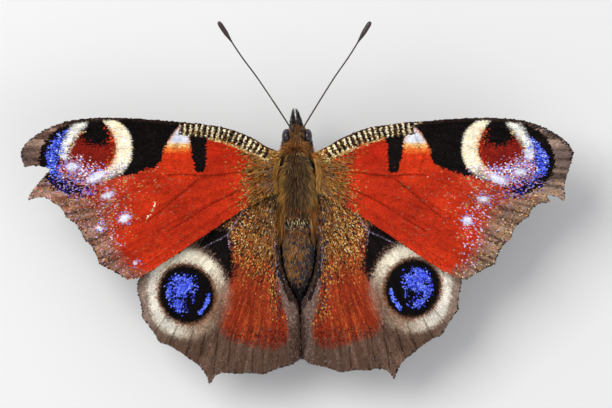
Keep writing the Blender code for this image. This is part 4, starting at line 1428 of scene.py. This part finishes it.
class Body:
    """The skin of head, thorax and abdomen in one, as rings round the body's axis."""

    def __init__(self, rings=150, sides=60):
        trees = [(tree_of(node), 0) for node in ("head", "thorax", "abdomen")]
        trees += [(tree_of(f"eye_{name}"), EYE_SEAT) for name in SIDES]
        ys = np.linspace(HEAD_END, TAIL_END, rings)
        angles = math.tau * np.arange(sides) / sides
        reach = np.full((rings, sides), np.nan)
        for row, y in enumerate(ys):
            x, z = body_axis(y)
            middle = Vector((float(x), y, float(z))) * MM
            for column, angle in enumerate(angles):
                way = Vector((math.sin(angle), 0, math.cos(angle)))
                hits = [(tree.ray_cast(middle, way)[0], more) for tree, more in trees]
                hits = [(hit - middle).length / MM + more for hit, more in hits if hit is not None]
                reach[row, column] = max(hits, default=np.nan)
        for column in reach.T:
            known = ~np.isnan(column)
            column[:] = np.interp(-ys, -ys[known], column[known])
        reach = np.maximum(reach - coat_depth(ys)[:, None], 0.08)
        reach *= 1 - 0.16 * np.exp(-(((ys + 2.4) / 0.35) ** 2))[:, None]
        for _ in range(2):
            around = np.roll(reach, 1, 1) + np.roll(reach, -1, 1)
            along = np.vstack([reach[:1], reach[:-1]]) + np.vstack([reach[1:], reach[-1:]])
            reach = 0.5 * reach + 0.125 * around + 0.125 * along
        x, z = body_axis(ys)
        across, up = x[:, None] + reach * np.sin(angles), z[:, None] + reach * np.cos(angles)
        points = np.stack([across, np.repeat(ys[:, None], sides, 1), up], axis=2)
        ends = [(x[0], ys[0] + 0.02, z[0]), (x[-1], ys[-1] - 0.02, z[-1])]
        self.points = np.vstack([points.reshape(-1, 3), ends])
        # The rings run the other way round than those of a swept form, so faces are turned over
        faces = tube_faces(rings, sides)
        self.faces = [face[::-1] if len(face) == 3 else (face[0], *face[:0:-1]) for face in faces]

    def unwrap(self, places):
        """Place on a map of the skin: round the body, and from tail to head."""
        x, z = body_axis(places[:, 1])
        around = np.arctan2(places[:, 0] - x, places[:, 2] - z) / math.tau + 0.5
        return on_map(np.column_stack([around, (places[:, 1] - MAP_TAIL) / MAP_LENGTH]))


def paint_body(places, up, seed):
    """Colours of the body: golden and brown hair, and a slate and rust abdomen."""
    axis, _ = body_axis(places[:, 1])
    x, y = places[:, 0] - axis, places[:, 1]
    paint = Paint(x, y, seed)
    lay, _, oval, stroke, tone = paint.tools()
    fine = lattice_noise(x, y, 0.35, 61)
    lay(1, "bronze coffee", 0.6)
    gold = rise(np.abs(x), 0.7, 0.9)
    lay(gold * 0.9, "honey honey bronze copper olive", 0.8)
    lay(rise(np.abs(x), 0.9, -0.6) * 0.7, "coffee sepia bronze")
    rear = rise(y, 1.5, -2.5)
    lay(rear * gold * 0.75, "copper copper honey")
    lay(rear * (1 - gold) * 0.5, "copper coffee")
    collar = rise(y, 5.3, 0.5) * rise(y, 7.3, -0.4)
    lay(collar * 0.9, "copper honey copper rust bronze")
    lay(oval((0, 6.05), (1.0, 0.4), soft=0.4) * 0.6, "sepia umber copper")
    lay(stroke([(-0.7, 5.55), (0.7, 5.55)], 0.08, 0.1) * 0.4, "straw honey")
    head = rise(y, 7.1, 0.4)
    lay(head, "bronze coffee copper umber")
    lay(head * rise(y, 8.0, 0.5) * 0.6, "ink coffee")
    for place in ((-0.72, 7.85), (0.6, 7.75)):
        lay(oval(place, (0.26, 0.34), soft=0.2) * 0.5, "butter tan smoke")
    # Painted light: more gold on the left side of the thorax, lit from the left
    lay(gold * rise(x, -0.8, -0.4) * 0.4, "honey gold")
    # Painted shade: black in the slit at each shoulder
    for slit in SHOULDER_SLITS:
        lay(stroke(slit, 0.32, 0.15), "black")
    band = rise(y, -2.75, 0.3) * rise(y, -1.3, -0.3)
    lay(band * 0.9, "black ink black straw soot")
    # Abdomen: slate with real rust speckles, laid mostly left of its middle as painted light from
    # the left, so the right stays dark slate as painted shade
    tail = rise(y, -2.5, -0.3)
    lay(tail, "slate ink slate coffee")
    warm = np.clip(1.0 - np.abs(x + 0.4) / 1.8, 0, 1) ** 0.5 * rise(y, -9.4, 2)
    warm *= 0.25 + 0.75 * ease((lattice_noise(x, y, 0.42, 62) - 0.32) * 4)
    lay(tail * warm * 0.9, "copper umber rust honey honey bronze")
    # Painted light: a paler left side of the abdomen
    lay(tail * rise(x, -0.3, -0.6) * 0.3, "tan honey gold")
    lay(tail * 0.07, "steel smoke")
    lay(tail * rise(y, -8.0, -1.4) * 0.92, "black ink soot")
    below = rise(up, -0.1, -0.4)
    lay(below * 0.95, "soil sepia soot coffee")
    tone(1 - tail * (0.13 + 0.15 * rise(y, -7, -2)))
    tone(1 + 0.5 * (fine - 0.5))
    return paint.colour


def body_coat(body, count, seed, low_y, high_y, length_of, width):
    """Tufts over one stretch of the body, from low_y to high_y."""
    roots, out = scatter(body.points, body.faces, count, seed)
    keep = (roots[:, 1] > low_y) & (roots[:, 1] <= high_y)
    for side in SIDES.values():
        eye = (side * EYE_CENTRE[0], *EYE_CENTRE[1:])
        keep &= np.linalg.norm((roots - eye) / (np.array(EYE_RADII) + 0.04), axis=1) > 1
    roots, out = roots[keep], out[keep]
    axis, _ = body_axis(roots[:, 1])
    x, y = roots[:, 0] - axis, roots[:, 1]
    dice = np.random.default_rng(seed + 1)
    front = rise(y, 7.0, 0.5)
    flare = 0.2 + 0.25 * rise(y, 0.5, 2) * rise(y, 6.6, -1)
    sideways = x * (flare * (1 - front) - 0.3 * front)
    lie = np.column_stack([sideways, 2 * front - 1, -0.25 * (1 - front)])
    lie += dice.normal(0, 0.10, lie.shape)
    lengths = length_of(x, y, out[:, 2]) * dice.uniform(0.75, 1.15, len(x))
    # Hair that would cross the slits at the shoulders is cut short
    for share in (0.5, 0.9):
        for slit in SHOULDER_SLITS:
            reached = Paint(x + lie[:, 0] * lengths * share, y + lie[:, 1] * lengths * share, seed)
            crossing = reached.stroke(slit, 0.46, 0.2)
            lengths = lengths * (1 - 0.85 * crossing * (out[:, 2] > 0))
    tint = paint_body(roots, out[:, 2], seed + 2)
    tint = (tint * dice.normal(1, 0.16, len(x)).clip(0.5, 1.7)[:, None]).clip(0, 1)
    return coat_of(roots - out * 0.02, out, lie, width, lengths, tint, body.unwrap(roots))


def thorax_length(x, y, up):
    length = 0.85 + 0.45 * rise(np.abs(x), 0.9, 0.6) - 0.3 * rise(y, -0.4, -0.8)
    return length * np.interp(up, (-1, 0, 0.4), (0.8, 0.9, 1))


def abdomen_length(x, y, up):
    return 0.46 - 0.14 * rise(y, -8, -2.5)


def head_length(x, y, up):
    return np.interp(y, (6.2, 6.9, 7.4, 8.1, 8.4), (0.7, 0.55, 0.42, 0.5, 0.6))


# The body's coats: seed, from where to where along it, and length and width of a tuft
BODY_COATS = {
    "thorax": (200, -1.5, 6.2, thorax_length, 0.052),
    "abdomen": (210, -11.2, -1.4, abdomen_length, 0.05),
    "head": (220, 6.2, 8.6, head_length, 0.036),
}


def trailing_locks(seed):
    """Long brown locks that trail from the thorax along both sides of the abdomen."""
    dice = np.random.default_rng(seed)
    coats, count = [], LOCK_TUFTS
    for side in SIDES.values():
        y = dice.uniform(-2.4, 1.6, count)
        x = side * (1.72 + dice.normal(0, 0.12, count) - 0.18 * ease((-y - 0.5) / 1.4))
        z = 8.05 + dice.uniform(-0.35, 0.45, count) - 0.12 * (1.6 - y)
        out = np.tile((side * 0.5, 0, 0.86), (count, 1))
        sideways = side * dice.normal(0.03, 0.05, count)
        lie = np.column_stack([sideways, -np.ones(count), dice.normal(-0.12, 0.05, count)])
        lengths = dice.uniform(1.6, 2.8, count)
        roots = np.column_stack([x, y, z])
        tint = mixed(roots, seed + 1, "copper copper honey bronze umber")
        around = 0.5 + side * 0.2 + 0.01 * (z - 8)
        patch = np.column_stack([around, (y - MAP_TAIL) / MAP_LENGTH])
        coats.append(coat_of(roots, out, lie, 0.05, lengths, tint, patch))
    return joined(coats)


def shoulder_hair(body, seed):
    """Golden hair over the roots of the forewings, outside the slit at each shoulder."""
    dice = np.random.default_rng(seed)
    coats = []
    for name, side in SIDES.items():
        along = dice.random(SHOULDER_TUFTS)
        x = np.interp(along, (0, 0.25, 0.5, 1), (1.8, 2.05, 2.1, 2.0))
        x = side * (x + dice.uniform(-0.08, 0.36, SHOULDER_TUFTS))
        y = 5.0 - 3.3 * along
        z = np.zeros(SHOULDER_TUFTS)
        for node in ("thorax", f"forewing_{name}"):
            hits = cast(tree_of(node), x, y, -1)
            z = np.maximum(z, [hit[0].z / MM - 0.08 if hit[0] else 0 for hit in hits])
        roots = np.column_stack([x, y, z])[z > 6]
        flat = np.ones(len(roots))
        out = np.tile((0.45 * side, 0, 0.9), (len(roots), 1))
        lie = np.column_stack([0.35 * side * (1 - along[z > 6]), -flat, -0.12 * flat])
        lie += dice.normal(0, 0.10, lie.shape)
        tint = mixed(roots, seed + 1, "honey gold copper honey bronze")
        lengths = dice.uniform(0.7, 1.15, len(roots))
        coats.append(coat_of(roots, out, lie, 0.05, lengths, tint, body.unwrap(roots)))
    return joined(coats)


def collar_hair(body, count, seed):
    """Long hair that stands out all round the neck, as wide as the eyes."""
    coat = body_coat(body, count, seed, 5.5, 6.9, lambda x, y, up: 0.82 - 0.2 * ease(up), 0.05)
    axis, _ = body_axis(coat["roots"][:, 1])
    sideways = np.sign(coat["roots"][:, 0] - axis) * rise(np.abs(coat["out"][:, 2]), 0.7, -0.5)
    coat["lie"] = coat["lie"] * 0.7
    coat["lie"][:, 0] += sideways * 0.35
    coat["lie"] = unit(coat["lie"])
    return lifted(coat, 32)


# ---- Head parts and legs ----


def tube_coat(path, radii, kind, side):
    """Tufts on a round form: their roots over it, and their lie along it and outwards."""
    count, seed, length, width, lean, mixture = TUBE_COATS[kind]
    seed += side
    points, faces, _ = swept(path, radii)
    roots, out = scatter(points, faces, count, seed)
    nearest = ((roots[:, None, :] - path) ** 2).sum(2).argmin(1)
    tangents = unit(np.gradient(path, axis=0))
    dice = np.random.default_rng(seed + 1)
    lie = tangents[nearest] + dice.normal(0, 0.12, roots.shape)
    around = np.arctan2(out[:, 0], out[:, 2]) / math.tau + 0.5
    patch = on_map(np.column_stack([around, nearest / (len(path) - 1)]))
    lengths = length * dice.uniform(0.7, 1.2, len(roots))
    tint = mixed(roots, seed + 2, mixture)
    return lifted(coat_of(roots - out * 0.01, out, lie, width, lengths, tint, patch), lean)


def leaning(points, side, lean):
    """The points on one side of the head, leaning to the left ahead of the first one."""
    points = np.array(points, float)
    points[:, 0] = side * points[:, 0] - lean * (points[:, 1] - points[0, 1])
    return points


def eye_form(side):
    """A domed eye, dark brown with a few paler spots, which are painted glints on its facets."""
    form = bmesh.new()
    bmesh.ops.create_icosphere(form, subdivisions=5, radius=1)
    ball = np.array([vert.co[:] for vert in form.verts])
    faces = [tuple(vert.index for vert in face.verts) for face in form.faces]
    form.free()
    points = ball * EYE_RADII + (side * EYE_CENTRE[0], *EYE_CENTRE[1:])
    paint = Paint(points[:, 1], points[:, 2], 5)
    paint.lay(1, "eye", 0)
    paint.lay(0.5, "ink eye sepia", 0.3)
    # Painted glints: a few pale and bluish specks on the facets
    paint.lay(0.03, "steel lilac navy smoke")
    return points, faces, paint.colour


def feeler_form(side):
    """A jointed shaft with a pale ring at each joint, which ends in a pale-tipped club."""
    path = leaning(smooth_path(FEELER_PATH, 40), side, FEELER_LEAN)
    spans = np.linalg.norm(np.diff(path, axis=0), axis=1)
    from_tip = np.append(np.cumsum(spans[::-1])[::-1], 0)
    run = from_tip[0] - from_tip
    segment = (run / 0.34) % 1
    club = rise(from_tip, 2.9, -1.7)
    radii = 0.078 + 0.19 * club + 0.012 * rise(segment, 0.55, 0.4) * (1 - 0.5 * club)
    radii *= 0.35 + 0.65 * rise(from_tip, -0.28, 0.75)
    radii += 0.09 * np.exp(-(((run - 0.55) / 0.22) ** 2))
    points, faces, along = swept(*rounded(path, radii), 10)
    paint = Paint(along, along, 7)
    rows = np.clip((along * (len(path) - 1)).astype(int), 0, len(path) - 1)
    club, segment, run, from_tip = club[rows], segment[rows], run[rows], from_tip[rows]
    # Dark horn, reddish partly as painted backlight through the shaft
    paint.lay(1, "horn tar", 0.4)
    paint.lay(club, "tar", 0.2)
    ringed = rise(segment, 0.78, 0.1) * (1 - 0.85 * club) * (run > 0.9)
    paint.lay(ringed * 0.7, "bone", 0.1)
    paint.lay(rise(from_tip, 0.42, -0.2), "butter tan", 0.2)
    return points, faces, paint.colour


def tongue_form():
    """The tongue: a flat spring that winds inwards under the head."""
    share = np.linspace(0, 1, 150)
    angle = math.radians(100) - math.tau * TONGUE_TURNS * share
    radius = 0.70 - 0.55 * share
    y, z = TONGUE_CENTRE[0] + radius * np.cos(angle), TONGUE_CENTRE[1] + radius * np.sin(angle)
    path = np.vstack([[(0, 7.72, 6.75), (0, 7.71, 6.35)], np.column_stack([0 * share, y, z])])
    radii = np.concatenate([[0.16, 0.16], 0.145 - 0.075 * share])
    radii *= 1 + 0.05 * np.cos(np.arange(len(radii)) * 1.9)
    points, faces, along = swept(*rounded(path, radii))
    return points, faces, linear("copper") * (1 - 0.35 * along[:, None])


def leg_line(name, side):
    """Middle line of a leg with a bend at each joint, its radius, and where its foot begins."""
    hip, thigh, knee, ankle, toe = (np.array(point, float) for point in LEG_PATHS[name])
    foot = [ankle + (toe - ankle) * share for share in (0, 0.42, 0.60, 0.75, 0.88, 1)]
    # From where to where each stretch goes, its radii, how many steps it has and its bow
    stretches = [
        (hip, thigh, (0.34, 0.30, 0.24), 5, 0),
        (thigh, knee, (0.24, 0.33, 0.32, 0.17), 14, 0.12),
        (knee, ankle, (0.17, 0.21, 0.22, 0.18, 0.15), 16, 0.12),
        *((a, b, (0.10, 0.135, 0.14, 0.105), 6, 0) for a, b in zip(foot, foot[1:])),
    ]
    path, radii = [], []
    for start, end, sizes, steps, bow in stretches:
        for share in np.arange(steps) / steps:
            path.append(start + (end - start) * share + (0, 0, bow * math.sin(math.pi * share)))
            radii.append(np.interp(share, np.linspace(0, 1, len(sizes)), sizes))
    path, radii = np.array([*path, toe]), np.array([*radii, 0.09])
    foot_start = sum(stretch[3] for stretch in stretches[:3])
    path[foot_start:, 2] = np.maximum(radii[foot_start:], 0.02)
    path[:, 0] *= side
    return path, radii, foot_start


def leg_form(path, radii, foot_start):
    """The closed shapes of a leg: the leg itself, its two spurs and its two claws."""
    points, faces, along = swept(*rounded(path, radii), 14)
    paint = Paint(points[:, 0], points[:, 1], 12)
    paint.lay(1, "horn tar", 0.3)
    paint.lay(rise(along, 0.35, 0.3) * 0.5, "bronze", 0.3)
    parts = [(points, faces, paint.colour)]
    toe, shin = path[-1], path[foot_start - 2]
    ahead = unit(toe - path[-4])
    beside = np.array((-ahead[1], ahead[0], 0))

    def spike(start, steps, sizes, floor, colour):
        """A thin spike through points ahead of, beside and above its start."""
        line = [start + ahead * a + beside * b + (0, 0, c) for a, b, c in steps]
        if len(steps) > 3:
            line, sizes = smooth_path(line, 4), spread(sizes, 13)
        points, faces, _ = swept(line, sizes, 8)
        points[:, 2] = np.maximum(points[:, 2], floor)
        parts.append((points, faces, linear(colour)))

    for way in (-1, 1):
        claw = [(-0.05, 0.03 * way, 0), (0.10, 0.09 * way, 0.04)]
        claw += [(0.22, 0.12 * way, -0.01), (0.27, 0.12 * way, -0.07)]
        spike(toe, claw, (0.05, 0.042, 0.026, 0.008), 0.002, "tar")
        spur = [(0, 0, 0), (0.22, 0.14 * way, -0.02), (0.46, 0.2 * way, 0)]
        spike(shin, spur, (0.05, 0.038, 0.008), 0.004, "horn")
    return parts


def leg_coat(path, radii, foot_start, side):
    """Hair of a leg, which is short on the foot and leaves its sole bare."""
    upper = tube_coat(path[:foot_start], radii[:foot_start], "leg", side)
    lower = tube_coat(path[foot_start:], radii[foot_start:], "foot", side)
    lower["roots"][:, 2] = np.maximum(lower["roots"][:, 2], 0.05)
    above = lower["out"][:, 2] > -0.2
    return joined([upper, {key: values[above] for key, values in lower.items()}])


# ---- Settings ----


class WingSettings(bpy.types.PropertyGroup):
    """Sizes of the wings' membranes and scales, in mm."""

    thickness: FloatProperty(
        name="Membrane", description="Thickness of a wing between its veins", default=0.1, min=0.02
    )
    grid: FloatProperty(
        name="Grid", description="Distance between the points of a membrane", default=0.24, min=0.1
    )
    pitch_across: FloatProperty(
        name="Scale Pitch Across", description="Distance between scales in a row", default=0.112
    )
    pitch_along: FloatProperty(
        name="Scale Pitch Along", description="Distance between rows of scales", default=0.15
    )
    under_pitch: FloatProperty(
        name="Underside Pitch", description="How much coarser the underside is", default=1.5
    )
    fringe: FloatProperty(
        name="Fringe", description="Length of the fringe on the outer margins", default=0.32
    )
    fringe_pitch: FloatProperty(
        name="Fringe Pitch", description="Distance between fringe scales", default=0.035
    )


class HairSettings(bpy.types.PropertyGroup):
    """How many tufts of hair the body grows, if each coat covered the whole of it."""

    thorax_tufts: IntProperty(name="Thorax Tufts", description="Tufts on the thorax", default=9500)
    abdomen_tufts: IntProperty(
        name="Abdomen Tufts", description="Tufts on the abdomen", default=15000
    )
    head_tufts: IntProperty(name="Head Tufts", description="Tufts on the head", default=22000)


class StageSettings(bpy.types.PropertyGroup):
    """The floor, the lights and the camera."""

    floor: FloatVectorProperty(
        name="Floor", description="Colour of the floor", subtype="COLOR", default=(0.78, 0.77, 0.75)
    )
    key: FloatProperty(name="Key Light", description="Power of the main light", default=1.9)
    fill: FloatProperty(name="Fill Light", description="Power of the fill light", default=0.45)
    distance: FloatProperty(
        name="Camera Height", description="Height of the camera", default=0.45, unit="LENGTH"
    )


# ---- Operators ----


class BUTTERFLY_OT_wings(bpy.types.Operator):
    """Make the four wings with their scales and fringes"""

    bl_idname = "butterfly.wings"
    bl_label = "Wings"

    def execute(self, context):
        settings = context.scene.butterfly_wings
        for kind in PAINTERS:
            for name in SIDES:
                wing = Wing(kind, name, settings.fringe)
                skin = wing_membrane(wing, settings)
                wing_scales(wing, skin, settings, True)
                wing_scales(wing, skin, settings, False)
                wing_fringe(wing, settings)
                wing_hair(wing, skin, SEEDS["wing_hair"] + wing.side)
                if kind == "hindwing":
                    fold = hind_fold(wing)
                    add_solid(f"fold_{name}", [fold], "wing_membrane", "wing_scales")
                    coat = fold_coat(*fold[:2], wing, SEEDS["fold_hair"] + wing.side)
                    lay_coat(f"fold_{name}_hair", coat, "fold")
        return {"FINISHED"}


class BUTTERFLY_OT_body(bpy.types.Operator):
    """Make the skin of head, thorax and abdomen with its hair"""

    bl_idname = "butterfly.body"
    bl_label = "Body"

    def execute(self, context):
        settings = context.scene.butterfly_hair
        body = Body()
        _, middle = body_axis(body.points[:, 1])
        up = np.clip(body.points[:, 2] - middle, -1, 1)
        # The skin takes the hair's colours, darkened as painted shade under the hair
        tints = paint_body(body.points, up, SEEDS["body_skin"]) * UNDERCOAT_SHADE["body"]
        skin = (body.points, body.faces, tints)
        nodes = ("head", "thorax", "abdomen")
        add_solid("body_skin", [skin], "body_skin", "body_hair", *nodes)
        for name, values in BODY_COATS.items():
            coat = body_coat(body, getattr(settings, f"{name}_tufts"), *values)
            lay_coat(f"{name}_hair", coat, name)
        collar = collar_hair(body, settings.head_tufts, SEEDS["collar"])
        lay_coat("collar_hair", collar, "collar")
        lay_coat("shoulder_hair", shoulder_hair(body, SEEDS["shoulder"]), "shoulder")
        lay_coat("trailing_hair", trailing_locks(SEEDS["trailing"]), "trailing")
        return {"FINISHED"}


class BUTTERFLY_OT_head(bpy.types.Operator):
    """Make the eyes, palps, feelers and the coiled tongue"""

    bl_idname = "butterfly.head"
    bl_label = "Head Parts"

    def execute(self, context):
        for name, side in SIDES.items():
            node = f"eye_{name}"
            add_solid(f"{node}_facets", [eye_form(side)], "eye_facets", "eye_gloss", node)
            path = leaning(smooth_path(PALP_PATH, 5), side, PALP_LEAN)
            radii = spread(PALP_RADII, len(path))
            node = f"palp_{name}"
            add_solid(f"{node}_core", [core(path, radii)], "hair", "body_hair", node)
            lay_coat(f"{node}_hair", tube_coat(path, radii, "palp", side), "palp")
            add_solid(f"feeler_{name}", [feeler_form(side)], "horn", "horn", f"antenna_{name}")
        add_solid("tongue", [tongue_form()], "horn", "horn", "proboscis")
        return {"FINISHED"}


class BUTTERFLY_OT_legs(bpy.types.Operator):
    """Make the four walking legs and the two small brush-like forelegs"""

    bl_idname = "butterfly.legs"
    bl_label = "Legs"

    def execute(self, context):
        for name, side in SIDES.items():
            for leg in LEG_PATHS:
                line = leg_line(leg, side)
                nodes = [f"{leg}_{name}_{length}" for length in ("femur", "tibia", "tarsus")]
                add_solid(f"{leg}_{name}", leg_form(*line), "horn", "horn", *nodes)
                lay_coat(f"{leg}_{name}_hair", leg_coat(*line, side), "leg")
            path = smooth_path(FORELEG_PATH, 5) * (side, 1, 1)
            radii = spread(FORELEG_RADII, len(path))
            node = f"foreleg_{name}"
            add_solid(f"{node}_core", [core(path, radii)], "horn", "body_hair", node)
            lay_coat(f"{node}_brush", tube_coat(path, radii, "foreleg", side), "foreleg")
        return {"FINISHED"}


# Size of the floor in m, places and sizes of the lights, and what the camera frames: the width
# of the photo at the height of the wings, and the point over which it stands
FLOOR_SIZE = 4
LIGHTS = {"key": ((-0.24, 0.18, 0.40), 0.30), "fill": ((0.30, -0.20, 0.36), 0.40)}
PLANE_HEIGHT, PHOTO_WIDTH = 9.3 * MM, 66.52 * MM
PHOTO_CENTRE = (0.98 * MM, -0.02 * MM)


class BUTTERFLY_OT_stage(bpy.types.Operator):
    """Make the floor, the lights and the camera"""

    bl_idname = "butterfly.stage"
    bl_label = "Stage"

    def execute(self, context):
        scene, settings = context.scene, context.scene.butterfly_stage
        bpy.ops.mesh.primitive_plane_add(size=FLOOR_SIZE)
        floor = context.object
        floor.name = "floor"
        material = bpy.data.materials.new("floor_paint")
        material.use_nodes = True
        tree = material.node_tree
        paint = {"Base Color": (*settings.floor, 1), "Roughness": 0.8}
        fill(tree, tree.nodes["Principled BSDF"], paint)
        floor.data.materials.append(material)
        for name, (place, size) in LIGHTS.items():
            lamp = bpy.data.lights.new(name, "AREA")
            lamp.energy, lamp.size = getattr(settings, name), size
            light = bpy.data.objects.new(name, lamp)
            light.location = place
            light.rotation_euler = (-Vector(place)).to_track_quat("-Z", "Y").to_euler()
            light.visible_camera = False
            scene.collection.objects.link(light)
        world = bpy.data.worlds.new("studio")
        world.use_nodes = True
        sky = {"Color": (0.92, 0.94, 1, 1), "Strength": 0.55}
        fill(world.node_tree, world.node_tree.nodes["Background"], sky)
        scene.world = world
        scene.view_settings.view_transform = "Standard"
        camera = bpy.data.cameras.new("camera")
        camera.sensor_width = 36
        camera.lens = camera.sensor_width * (settings.distance - PLANE_HEIGHT) / PHOTO_WIDTH
        camera.clip_start = 0.01
        viewer = bpy.data.objects.new("camera", camera)
        viewer.location = (*PHOTO_CENTRE, settings.distance)
        scene.collection.objects.link(viewer)
        scene.camera = viewer
        return {"FINISHED"}


OPERATORS = (
    BUTTERFLY_OT_wings,
    BUTTERFLY_OT_body,
    BUTTERFLY_OT_head,
    BUTTERFLY_OT_legs,
    BUTTERFLY_OT_stage,
)


class BUTTERFLY_PT_panel(bpy.types.Panel):
    """Sizes and pieces of the butterfly"""

    bl_label = "Peacock Butterfly"
    bl_idname = "BUTTERFLY_PT_panel"
    bl_space_type = "VIEW_3D"
    bl_region_type = "UI"
    bl_category = "Butterfly"

    def draw(self, context):
        for name in SETTINGS:
            group, box = getattr(context.scene, name), self.layout.box()
            for setting in group.__annotations__:
                box.prop(group, setting)
        for operator in OPERATORS:
            self.layout.operator(operator.bl_idname)


SETTINGS = {
    "butterfly_wings": WingSettings,
    "butterfly_hair": HairSettings,
    "butterfly_stage": StageSettings,
}
CLASSES = (*SETTINGS.values(), *OPERATORS, BUTTERFLY_PT_panel)


def register():
    for cls in CLASSES:
        bpy.utils.register_class(cls)
    for name, group in SETTINGS.items():
        setattr(bpy.types.Scene, name, PointerProperty(type=group))


def unregister():
    for name in SETTINGS:
        delattr(bpy.types.Scene, name)
    for cls in reversed(CLASSES):
        bpy.utils.unregister_class(cls)


def main():
    register()
    for operator in OPERATORS:
        group, name = operator.bl_idname.split(".")
        getattr(getattr(bpy.ops, group), name)()


if __name__ == "__main__":
    main()
